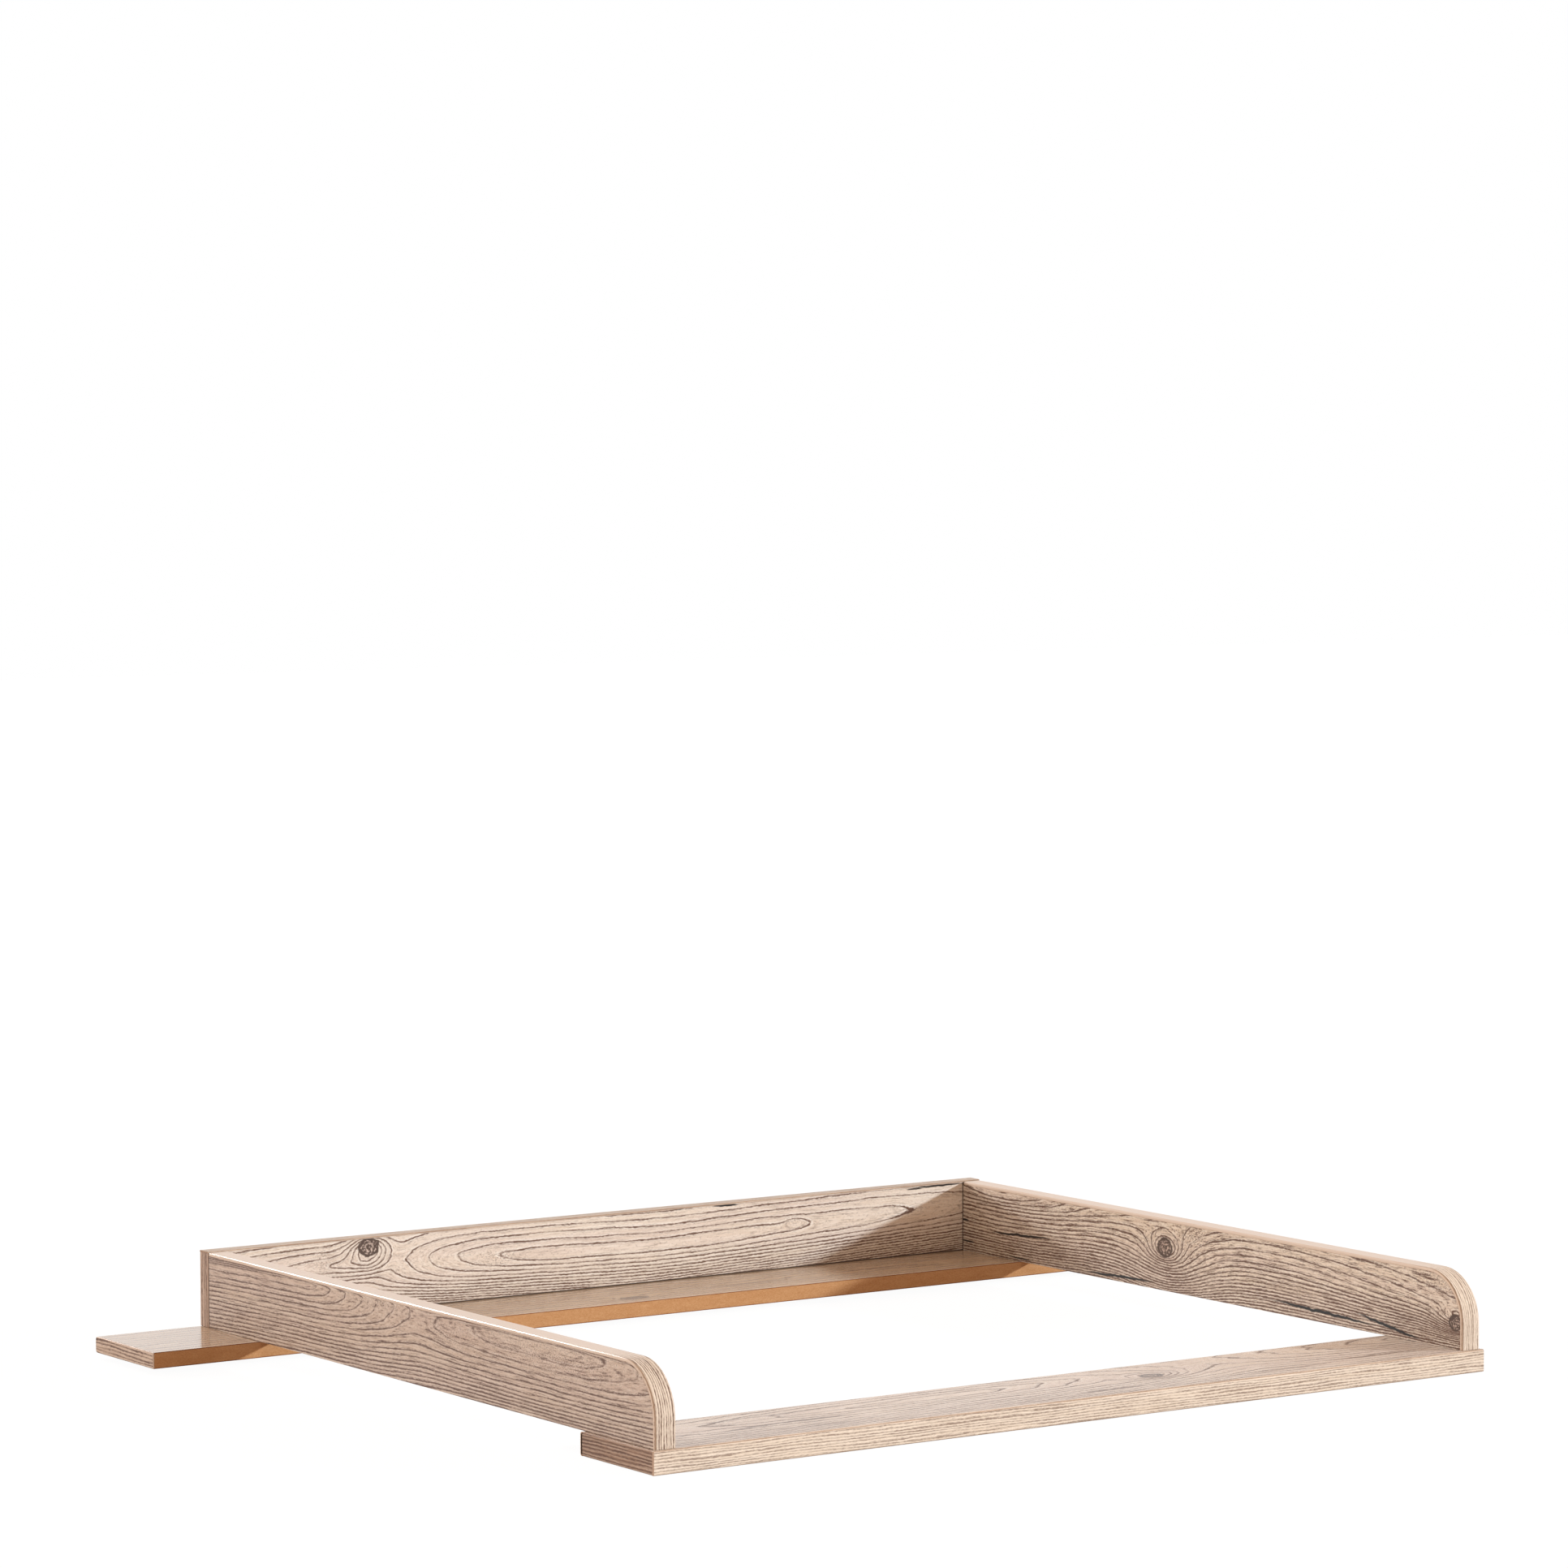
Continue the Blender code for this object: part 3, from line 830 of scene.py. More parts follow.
@dataclass(frozen=True)
class BandPrint:
    """Printed edge band: dense straight lines on its face, plain sides and brown arrises where the print is bold;
    along a flat top the arrises carry a paler painted highlight, paler still on the outer side.
    """

    decor: OakDecor = OakDecor()
    spacing: float = 2.6
    contrast: float = 0.72
    pale: Colour = (0.835, 0.715, 0.590)
    tint: Colour = (0.745, 0.610, 0.475)
    arris: Colour = (0.36, 0.215, 0.135)
    # outer arris colour along a flat top: a painted highlight
    outer_arris_painted_highlight: Colour = (0.70, 0.62, 0.56)
    # arris colour along a flat top: a painted highlight, paler than the brown arris
    top_arris_painted_highlight: Colour = (0.66, 0.54, 0.46)
    top: Colour = (0.62, 0.52, 0.45)
    side: Colour = (0.72, 0.60, 0.51)
    quiet: float = 0.1
    roughness: float = 0.38
    shining_roughness: float = 0.12
    mirror: float = 0.3
    light: Colour = (0.92, 0.82, 0.72)
    strokes: float = 0.5
    long_waves: Grit = Grit(120.0, 9.0, 1.0)
    long_wave: float = 1.1
    short_waves: Grit = Grit(9.0, 2.6, 2.0, 3.0, 0.65)
    short_wave: float = 0.22
    clouds: Grit = Grit(90.0, 3.0, 3.0)
    flecks: Grit = Grit(1.4, 1.1, 5.0, 3.0)
    emboss: float = 0.0001
    emboss_strength: float = 0.3

    def dress(self, name: str, section: Section, seed: float, turn: float = 0.0,
              outer: float = 0.0) -> bpy.types.Material:
        """Makes the band's material from the track attribute of a swept band.

        Args:
            name: the material's name.
            section: the band's section.
            seed: picks the pattern.
            turn: how far along the band its flat top ends and its bold print starts, 0 where it is bold all
                along. A flat top starts with a dark joint.
            outer: 1 or -1, the side across the band whose arris shines along its flat top with a painted
                highlight colour, 0 for none.

        Returns:
            The material.
        """
        shader = Surface(name)
        along, across, out = shader.parts(shader.attribute("track"))
        depth = section.thickness - out
        rim = across.least(section.width - across)
        arris_wear_and_highlight = depth.least(rim).step(section.arris * 0.06, section.arris * 0.2)
        side = depth.step(section.arris * 0.9, section.arris * 1.0)
        bold: Number = 1.0
        seam: Number = 0.0
        shine: Number = 0.0
        if turn:
            bold = along.step(turn - 0.05, turn + 0.03)
            seam = along.step(0.0016, 0.0008) * 0.8
            # painted highlight on the outer arris along the flat top
            shine = ((across - section.width / 2.0) * outer).step(0.0, 0.001) * (1.0 - bold)
        return self.printed(shader, (along, across), arris_wear_and_highlight, side, bold, seam, shine, seed)

    def dress_end(self, name: str, run: Run, seed: float) -> bpy.types.Material:
        """Makes the material of a flat end band that keeps its solid.

        Args:
            name: the material's name.
            run: the way that its lines lie.
            seed: picks the pattern.

        Returns:
            The material.
        """
        shader = Surface(name)
        grain_axis, across_axis, face_axis = run.value
        coordinates = shader.parts(shader.object_place())
        facing = abs(shader.parts(shader.object_normal())[face_axis])
        arris_wear_and_highlight = abs(facing - 0.75).step(0.2, 0.1)
        place = (coordinates[grain_axis], coordinates[across_axis])
        return self.printed(shader, place, arris_wear_and_highlight, facing.step(0.5, 0.3), 1.0, 0.0, 0.0, seed)

    def printed(self, shader: Surface, place: tuple[Flow, Flow], arris_wear_and_highlight: Flow, side: Flow, bold: Number,
                seam: Number, shine: Number, seed: float) -> bpy.types.Material:
        """Draws the print and joins it to the surface.

        Args:
            shader: the material under way.
            place: the place along and across the lines, in metres.
            arris_wear_and_highlight: where the arris shows; brown wear where the print is bold, a painted
                highlight along a flat top.
            side: where the plain side shows.
            bold: how boldly the lines are printed, from 0 to 1.
            seam: where a dark joint shows.
            shine: where the arris shines, with a painted highlight colour and a lower roughness.
            seed: picks the pattern.

        Returns:
            The material.
        """
        face = Face(shader, place[0] * MILLIMETRES, place[1] * MILLIMETRES, seed)
        rings = place[1] * (MILLIMETRES / self.spacing)
        rings = rings + self.long_wave * face.noise(self.long_waves)
        rings = rings + self.short_wave * face.noise(self.short_waves)
        lines = Lines(rings, 1.0 / self.spacing, 0.0, self.spacing, 0.0)
        dark, light = self.decor.grain(face, lines, self.strokes)
        dark = dark * (bold * (1.0 - self.quiet) + self.quiet)
        clouds = face.noise(self.clouds) * 0.8 + 0.5
        flecks = face.noise(self.flecks)
        colour = shader.blend(light * 0.35, shader.blend(clouds, self.pale, self.tint), self.light)
        colour = shader.blend((1.0 - bold) * 0.75, colour, self.top)
        colour = shader.blend(dark * self.contrast, colour, self.decor.line)
        colour = shader.blend(side, colour, shader.blend(flecks * 0.3 + 0.3, self.side, self.tint))
        # arris colour: brown where the print is bold, a painted highlight along a flat top
        edge = shader.blend(bold, shader.blend(shine, self.top_arris_painted_highlight, self.outer_arris_painted_highlight), self.arris)
        colour = shader.blend(arris_wear_and_highlight * 0.9, colour, shader.blend(flecks * 0.3 + 0.2, edge, self.tint))
        rough = self.roughness + dark * 0.1 + flecks * 0.03 + arris_wear_and_highlight * (1.0 - bold) * (1.0 - shine) * 0.3
        return shader.finished({
            "Base Color": shader.blend(seam, colour, self.decor.seam),
            "Normal": shader.bump(1.0 - dark * 0.7, self.emboss, self.emboss_strength),
            "Specular IOR Level": self.mirror,
            "Roughness": rough + arris_wear_and_highlight * shine * (self.shining_roughness - rough)})


@dataclass(frozen=True)
class ZincSteel:
    """Bright zinc on the connecting screws."""

    tone: Colour = (0.62, 0.62, 0.60)
    dull: Colour = (0.44, 0.45, 0.45)

    def dress(self, name: str) -> bpy.types.Material:
        """Makes the material: cloudy zinc with fine tool marks."""
        shader = Surface(name)
        place = shader.object_place()
        clouds = shader.noise(place, (0.004, 0.004, 0.004), 1.0, 3.0, 0.6)
        marks = shader.noise(place, (0.0012, 0.0012, 0.0001), 2.0, 3.0, 0.6)
        return shader.finished({
            "Base Color": shader.blend(clouds * 0.6 + 0.35, self.tone, self.dull),
            "Metallic": 1.0,
            "Roughness": 0.32 + clouds * 0.08 + marks * 0.05,
            "Normal": shader.bump(marks, 0.00003, 0.3)})


@dataclass(frozen=True)
class Beech:
    """Raw fluted beech with its short dark flecks."""

    tone: Colour = (0.70, 0.50, 0.32)
    fleck: Colour = (0.50, 0.31, 0.18)

    def dress(self, name: str) -> bpy.types.Material:
        """Makes the material: pale ground, fine lines and flecks."""
        shader = Surface(name)
        place = shader.object_place()
        lines = shader.noise(place, (0.0008, 0.0008, 0.02), 4.0, 3.0, 0.6)
        flecks = shader.noise(place, (0.0004, 0.0004, 0.0026), 5.0, 1.0).step(0.25, 0.5)
        colour = shader.blend(lines * 0.5 + 0.4, self.tone, shaded(self.tone, (0.84, 0.84, 0.84)))
        return shader.finished({
            "Base Color": shader.blend(flecks * 0.7, colour, self.fleck),
            "Roughness": 0.66 + lines * 0.06,
            "Normal": shader.bump(lines + flecks, 0.00006, 0.4)})


class NodeWorks(Nodes):
    """A Geometry Nodes tree while it is being made."""

    def __init__(self, name: str) -> None:
        """Starts a tree with a geometry input and output."""
        super().__init__(bpy.data.node_groups.new(name, "GeometryNodeTree"))
        for way in ("INPUT", "OUTPUT"):
            self.tree.interface.new_socket("Geometry", in_out=way, socket_type="NodeSocketGeometry")
        self.entry = self.add("NodeGroupInput", {}, {})
        self.exit = self.add("NodeGroupOutput", {}, {})

    def ask(self, name: str, kind: str = "Float") -> bpy.types.NodeSocket:
        """Adds a named input.

        Args:
            name: the input's name.
            kind: its socket type without the NodeSocket prefix.

        Returns:
            The socket that carries it in the tree.
        """
        self.tree.interface.new_socket(name, in_out="INPUT", socket_type="NodeSocket" + kind)
        return self.entry.outputs[name]

    def made(self, kind: str, settings: Mapping[str, Any],
             values: Mapping[Union[str, int], Any]) -> bpy.types.NodeSocket:
        """Adds a node and returns its first output."""
        return self.add(kind, settings, values).outputs[0]

    def math(self, operation: str, first: Any, second: Any) -> bpy.types.NodeSocket:
        """Returns the result of a Math node."""
        return self.made("ShaderNodeMath", {"operation": operation}, {0: first, 1: second})

    def vector(self, x: Any, y: Any, z: Any = 0.0) -> bpy.types.NodeSocket:
        """Joins three numbers into a vector."""
        return self.made("ShaderNodeCombineXYZ", {}, {0: x, 1: y, 2: z})

    def named(self, name: str, kind: str) -> bpy.types.NodeSocket:
        """Returns the value of a named attribute."""
        node = self.add("GeometryNodeInputNamedAttribute", {"data_type": kind}, {"Name": name})
        return next(socket for socket in node.outputs if socket.enabled and socket.name == "Attribute")

    def store(self, geometry: bpy.types.NodeSocket, name: str, kind: str,
              value: bpy.types.NodeSocket) -> bpy.types.NodeSocket:
        """Keeps a value in a named attribute of the points.

        Args:
            geometry: what carries the attribute.
            name: its name.
            kind: its data type.
            value: its value.

        Returns:
            The geometry with the attribute.
        """
        return self.made("GeometryNodeStoreNamedAttribute", {"data_type": kind, "domain": "POINT"},
                         {"Geometry": geometry, "Name": name, "Value": value})

    def close(self, geometry: bpy.types.NodeSocket, material: bpy.types.NodeSocket) -> bpy.types.NodeTree:
        """Ends the tree in Realize Instances and Set Material.

        Args:
            geometry: what the tree has made.
            material: the socket with its material.

        Returns:
            The finished tree.
        """
        real = self.made("GeometryNodeRealizeInstances", {}, {"Geometry": geometry})
        dressed = self.made("GeometryNodeSetMaterial", {}, {"Geometry": real, "Material": material})
        self.join(self.exit.inputs[0], dressed)
        return self.tree


def placed(name: str, mesh: Any) -> bpy.types.Object:
    """Returns a new object of the scene with the given data."""
    made = bpy.data.objects.new(name, mesh)
    bpy.context.scene.collection.objects.link(made)
    return made


def flattened(piece: bpy.types.Object) -> bpy.types.Mesh:
    """Returns a plain mesh of what an object's modifiers make."""
    graph = bpy.context.evaluated_depsgraph_get()
    return bpy.data.meshes.new_from_object(piece.evaluated_get(graph), depsgraph=graph)


def piece_from_nodes(name: str, base: bpy.types.Mesh, tree: bpy.types.NodeTree, inputs: Mapping[str, Any],
                     sharp: float, weighted: bool) -> bpy.types.Object:
    """Runs a Geometry Nodes tree on a base mesh and keeps the result as a plain mesh.

    Args:
        name: the finished piece's name.
        base: the mesh that the tree starts from.
        tree: the tree.
        inputs: a value for each named input.
        sharp: the angle in degrees past which an edge stays sharp.
        weighted: whether flat faces keep their own normals beside rounded ones.

    Returns:
        The finished piece, at the origin.
    """
    worker = placed(name + "_worker", base)
    modifier = worker.modifiers.new("make", "NODES")
    modifier.node_group = tree
    for item in tree.interface.items_tree:
        if item.item_type == "SOCKET" and item.in_out == "INPUT" and item.name in inputs:
            modifier[item.identifier] = inputs[item.name]
    mesh = flattened(worker)
    bpy.data.objects.remove(worker)
    shape = bmesh.new()
    shape.from_mesh(mesh)
    bmesh.ops.remove_doubles(shape, verts=shape.verts, dist=SAME_PLACE)
    bmesh.ops.recalc_face_normals(shape, faces=shape.faces)
    shape.to_mesh(mesh)
    shape.free()
    mesh.shade_smooth()
    mesh.set_sharp_from_angle(angle=math.radians(sharp))
    mesh.name = name
    piece = placed(name, mesh)
    if weighted:
        weight = piece.modifiers.new("weight", "WEIGHTED_NORMAL")
        weight.keep_sharp = True
        weight.weight = 100
        final = flattened(piece)
        piece.modifiers.clear()
        piece.data = final
        final.name = name
    return piece


def line_mesh(name: str, points: Sequence[Place]) -> bpy.types.Mesh:
    """Makes a mesh of one open line.

    Args:
        name: the mesh's name.
        points: its corners in order.

    Returns:
        The mesh.
    """
    mesh = bpy.data.meshes.new(name)
    mesh.from_pydata(points, [(index, index + 1) for index in range(len(points) - 1)], [])
    return mesh


@dataclass
class BandWorks:
    """The tool that sweeps an edge band's section along a path."""

    arris_steps: int = 7
    corner_steps: int = 40
    sharp: float = 40.0
    tree: bpy.types.NodeTree = field(init=False)

    def __post_init__(self) -> None:
        """Builds the tree."""
        works = NodeWorks("edge_band")
        corner, width, thickness, arris, tilt = map(works.ask, (
            "Corner Radius", "Width", "Thickness", "Arris Radius", "Tilt"))
        material = works.ask("Material", "Material")
        path = works.made("GeometryNodeMeshToCurve", {}, {0: works.entry.outputs["Geometry"]})
        path = self.rounded(works, path, corner, self.corner_steps)
        path = works.made("GeometryNodeSetCurveTilt", {}, {"Curve": path, "Tilt": tilt})
        length = works.add("GeometryNodeSplineParameter", {}, {}).outputs["Length"]
        path = works.store(path, "run", "FLOAT", length)
        half = works.math("MULTIPLY", width, 0.5)
        back = works.math("MULTIPLY", width, -0.5)
        corners = ((thickness, back), (thickness, half), (0.0, half), (0.0, back))
        section = works.made("GeometryNodeCurvePrimitiveQuadrilateral", {"mode": "POINTS"}, {
            f"Point {number}": works.vector(x, y) for number, (x, y) in enumerate(corners, 1)})
        spot = works.made("GeometryNodeInputPosition", {}, {})
        outer = works.math("GREATER_THAN", works.made("ShaderNodeSeparateXYZ", {}, {0: spot}), 1e-5)
        section = self.rounded(works, section, works.math("MULTIPLY", outer, arris), self.arris_steps)
        section = works.store(section, "section", "FLOAT_VECTOR", works.made("GeometryNodeInputPosition", {}, {}))
        mesh = works.made("GeometryNodeCurveToMesh", {}, {
            "Curve": path, "Profile Curve": section, "Fill Caps": True})
        out, side, _ = works.add("ShaderNodeSeparateXYZ", {}, {0: works.named("section", "FLOAT_VECTOR")}).outputs
        track = works.vector(works.named("run", "FLOAT"), works.math("ADD", side, half), out)
        mesh = works.store(mesh, "track", "FLOAT_VECTOR", track)
        for name in ("run", "section"):
            mesh = works.made("GeometryNodeRemoveAttribute", {}, {"Geometry": mesh, "Name": name})
        self.tree = works.close(mesh, material)

    @staticmethod
    def rounded(works: NodeWorks, curve: bpy.types.NodeSocket, radius: bpy.types.NodeSocket,
                steps: int) -> bpy.types.NodeSocket:
        """Rounds the corners of a curve.

        Args:
            works: the tree under way.
            curve: the curve.
            radius: the radius of its corners.
            steps: the straight steps in each corner.

        Returns:
            The rounded curve.
        """
        values = {"Curve": curve, "Count": steps, "Radius": radius, "Limit Radius": True}
        return works.made("GeometryNodeFilletCurve", {"mode": "POLY"}, values)

    def sweep(self, name: str, path: Sequence[Place], section: Section, material: bpy.types.Material,
              tilt: float, corner: float) -> bpy.types.Object:
        """Sweeps one band.

        Args:
            name: the piece's name.
            path: the line along the middle of its glued side.
            section: its section.
            material: its finish.
            tilt: the turn of its section about the path, in degrees.
            corner: the radius of the path's own corners.

        Returns:
            The band.
        """
        inputs = {"Corner Radius": corner, "Width": section.width, "Thickness": section.thickness,
                  "Arris Radius": section.arris, "Tilt": math.radians(tilt), "Material": material}
        return piece_from_nodes(name, line_mesh(name, path), self.tree, inputs, self.sharp, True)


@dataclass
class ScrewWorks:
    """The tool that turns, threads and sockets a connecting screw, head at the origin and point along -Z."""

    head_radius: float = 5.0 * MILLIMETRE
    head_rim: float = 0.8 * MILLIMETRE
    head_round: float = 0.3 * MILLIMETRE
    head_depth: float = 2.6 * MILLIMETRE
    neck_radius: float = 3.45 * MILLIMETRE
    neck_length: float = 9.0 * MILLIMETRE
    neck_step: float = 0.8 * MILLIMETRE
    core_radius: float = 2.3 * MILLIMETRE
    thread_depth: float = 1.15 * MILLIMETRE
    thread_start: float = 10.5 * MILLIMETRE
    thread_end: float = 48.0 * MILLIMETRE
    pitch: float = 3.0 * MILLIMETRE
    length: float = 50.0 * MILLIMETRE
    point_length: float = 4.0 * MILLIMETRE
    point_radius: float = 0.4 * MILLIMETRE
    socket_width: float = 4.0 * MILLIMETRE
    socket_depth: float = 2.8 * MILLIMETRE
    sides: int = 28
    turn_steps: int = 18
    sharp: float = 32.0
    tree: bpy.types.NodeTree = field(init=False)

    def __post_init__(self) -> None:
        """Builds the tree."""
        works = NodeWorks("connecting_screw")
        core, depth, pitch, start, end, socket_radius, socket_depth = map(works.ask, (
            "Core Radius", "Thread Depth", "Pitch", "Thread Start", "Thread End", "Socket Radius",
            "Socket Depth"))
        material = works.ask("Material", "Material")
        shank = works.made("GeometryNodeMeshToCurve", {}, {0: works.entry.outputs["Geometry"]})
        ring = works.made("GeometryNodeCurvePrimitiveCircle", {}, {"Resolution": self.sides, "Radius": 1.0})
        shank = works.made("GeometryNodeCurveToMesh", {}, {
            "Curve": shank, "Profile Curve": ring, "Scale": works.named("girth", "FLOAT"), "Fill Caps": True})
        hexagon = works.made("GeometryNodeMeshCylinder", {}, {
            "Vertices": 6, "Radius": socket_radius, "Depth": works.math("MULTIPLY", socket_depth, 2.0)})
        cut = works.made("GeometryNodeMeshBoolean", {"operation": "DIFFERENCE", "solver": "EXACT"}, {
            "Mesh 1": shank, "Mesh 2": hexagon})
        height = works.math("SUBTRACT", end, start)
        helix = works.made("GeometryNodeCurveSpiral", {}, {
            "Resolution": self.turn_steps, "Rotations": works.math("DIVIDE", height, pitch),
            "Start Radius": core, "End Radius": core, "Height": height})
        helix = works.made("GeometryNodeSetCurveNormal", {"mode": "Z_UP"}, {"Curve": helix})
        ridge = works.made("GeometryNodeCurvePrimitiveCircle", {}, {"Resolution": 3, "Radius": depth})
        thread = works.made("GeometryNodeCurveToMesh", {}, {
            "Curve": helix, "Profile Curve": ridge, "Fill Caps": True})
        lowered = works.vector(0.0, 0.0, works.math("MULTIPLY", end, -1.0))
        thread = works.made("GeometryNodeTransform", {}, {"Geometry": thread, "Translation": lowered})
        whole = works.add("GeometryNodeJoinGeometry", {}, {})
        for part in (thread, cut):
            works.join(whole.inputs[0], part)
        self.tree = works.close(whole.outputs[0], material)

    def silhouette(self) -> bpy.types.Mesh:
        """Returns the line down the screw's middle, with its girth at each corner."""
        stages = ((0.0, self.head_radius - self.head_round), (self.head_round, self.head_radius),
                  (self.head_rim, self.head_radius), (self.head_depth, self.neck_radius),
                  (self.neck_length, self.neck_radius), (self.neck_length + self.neck_step, self.core_radius),
                  (self.length - self.point_length, self.core_radius), (self.length, self.point_radius))
        mesh = line_mesh("screw_line", [(0.0, 0.0, -depth) for depth, _ in stages])
        girth = mesh.attributes.new("girth", "FLOAT", "POINT")
        for item, (_, radius) in zip(girth.data, stages):
            item.value = radius
        return mesh

    def turn(self, material: bpy.types.Material) -> bpy.types.Mesh:
        """Makes the screw's mesh.

        Args:
            material: its finish.

        Returns:
            The mesh, with its head at the origin.
        """
        inputs = {"Core Radius": self.core_radius, "Thread Depth": self.thread_depth, "Pitch": self.pitch,
                  "Thread Start": self.thread_start, "Thread End": self.thread_end,
                  "Socket Radius": self.socket_width / math.sqrt(3.0), "Socket Depth": self.socket_depth,
                  "Material": material}
        sample = piece_from_nodes("screw_sample", self.silhouette(), self.tree, inputs, self.sharp, False)
        mesh = sample.data
        bpy.data.objects.remove(sample)
        return mesh


def dress(node: str, material: bpy.types.Material) -> None:
    """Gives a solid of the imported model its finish.

    Args:
        node: the node's name.
        material: the finish.
    """
    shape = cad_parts[node]
    if not shape.material_slots:
        shape.data.materials.append(material)
    for slot in shape.material_slots:
        slot.material = material


def seat(piece: bpy.types.Object, slot: str, *nodes: str) -> None:
    """Hands a finished piece over in place of the nodes it stands for.

    Args:
        piece: the piece.
        slot: not used.
        nodes: the nodes that it replaces.
    """
    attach(piece, "root")
    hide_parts(*nodes)


@dataclass(frozen=True)
class Stock:
    """What every board is made from: its finishes and the tool that sweeps its bands."""

    decor: OakDecor = OakDecor()
    raw: RawFibreboard = RawFibreboard()
    print_: BandPrint = BandPrint()
    works: BandWorks = field(default_factory=BandWorks)

    def board(self, node: str, run: Run, figure: Figure, shown: float) -> None:
        """Dresses a board's core.

        Args:
            node: the board's node.
            run: the way that its grain lies.
            figure: how the growth lines run on the shown face.
            shown: 1 or -1, the side of the board that shows the figure.
        """
        dress(node, self.decor.dress(node + "_decor", run, figure, shown, self.raw))

    def band(self, node: str, name: str, path: Sequence[Place], section: Section,
             material: bpy.types.Material, tilt: float = 0.0, corner: float = 0.0) -> None:
        """Sweeps a band and seats it in place of its node.

        Args:
            node: the band's node.
            name: the band's name.
            path: the line along the middle of its glued side.
            section: its section.
            material: its finish.
            tilt: the turn of its section about the path, in degrees.
            corner: the radius of the path's own corners.
        """
        piece = self.works.sweep(name + "_swept", path, section, material, tilt, corner)
        seat(piece, "edge_band", node)
        log.info("%s swept with %d faces", name, len(piece.data.polygons))


@dataclass(frozen=True)
class SideRails:
    """The two side rails, each with one band over its top, round its corner and down its front end."""

    half_width: float = 464.0 * MILLIMETRE
    foot: float = 22.3 * MILLIMETRE
    top: float = 97.3 * MILLIMETRE
    front: float = -420.15 * MILLIMETRE
    rear: float = 404.85 * MILLIMETRE
    corner: float = 50.0 * MILLIMETRE
    section: Section = Section(22.0 * MILLIMETRE, 3.0 * MILLIMETRE, 1.8 * MILLIMETRE)
    brown: Colour = (0.81, 0.68, 0.555)
    browner: Colour = (0.70, 0.57, 0.44)
    # the left rail's tones are darkened by its shade: painted shade for the weaker light on its outer face
    left: Figure = Figure(
        contrast=1.3, distance=4.5, strokes=1.25, seed=11.0, waver=0.42, shade=(0.84, 0.82, 0.815),
        hearts=(Heart(215.0, 91.5, 30.0, 500.0, 1.8, 6.2, -5.0, rise_past=-0.03, crowding=0.9),
                Heart(-245.0, 90.5, 85.0, 130.0, 2.2, 22.0, 0.0, 1.3, 1.6, crowding=2.1)),
        patches=(Swell(-250.0, 81.0, 125.0, 17.0, 0.95), Swell(-60.0, 78.0, 50.0, 12.0, 0.8),
                 Swell(70.0, 90.0, 60.0, 7.0, 0.6)),
        seams=(Seam(False, 405.2, 1.9, 1.0),))
    # the right rail's tones are lightened by its shade: painted light on its inner face
    right: Figure = Figure(
        spacing=9.0, crowding=1.3, contrast=1.55, distance=5.5, strokes=1.4, seed=23.0, shade=(1.05, 1.11, 1.14),
        swells=(Swell(-430.0, 60.0, 210.0, 30.0, -4.5), Swell(-410.0, 49.0, 30.0, 13.0, -4.0),
                Swell(40.0, 42.0, 75.0, 42.0, -6.0), Swell(47.0, 66.0, 25.0, 14.0, -4.5),
                Swell(320.0, 65.0, 230.0, 60.0, -5.2), Swell(350.0, 92.0, 170.0, 14.0, -2.4)),
        patches=(Swell(-8.0, 85.0, 15.0, 11.0, 1.0), Swell(-385.0, 88.0, 45.0, 14.0, 0.7),
                 Swell(240.0, 88.0, 70.0, 7.0, 0.5)),
        knots=(Knot(47.5, 67.4, 12.5, 9.8), Knot(-409.8, 48.2, 9.4, 7.8)),
        cracks=(Crack(124.0, 27.7, 66.0, 1.6, -1.6), Crack(-208.0, 32.8, 92.0, 1.9, 1.9),
                Crack(-311.0, 31.8, 56.0, 1.9, 8.2), Crack(300.0, 50.6, 62.0, 1.5, -2.8),
                Crack(300.0, 25.6, 24.0, 0.9, 1.0), Crack(402.0, 56.3, 9.0, 1.5),
                Crack(396.0, 33.0, 14.0, 1.2)))

    def build(self, stock: Stock) -> None:
        """Dresses both cores and sweeps both bands."""
        brown_print = replace(stock.print_, pale=self.brown, tint=self.browner, contrast=1.0)
        glued_top = self.top - self.section.thickness
        glued_front = self.front + self.section.thickness
        turn = self.rear - self.front - self.corner
        for side, sign, figure, finish in (("left", -1.0, self.left, brown_print),
                                           ("right", 1.0, self.right, stock.print_)):
            stock.board(side + "_rail", Run.BACKWARD, figure, -1.0)
            middle = sign * self.half_width
            path = ((middle, self.rear, glued_top), (middle, glued_front, glued_top),
                    (middle, glued_front, self.foot))
            material = finish.dress(side + "_rail_band_print", self.section, 31.0 + sign, turn, -sign)
            stock.band(side + "_rail_band", side + "_rail_band", path, self.section, material, -90.0,
                       self.corner - self.section.thickness)
        log.info("side rails dressed")


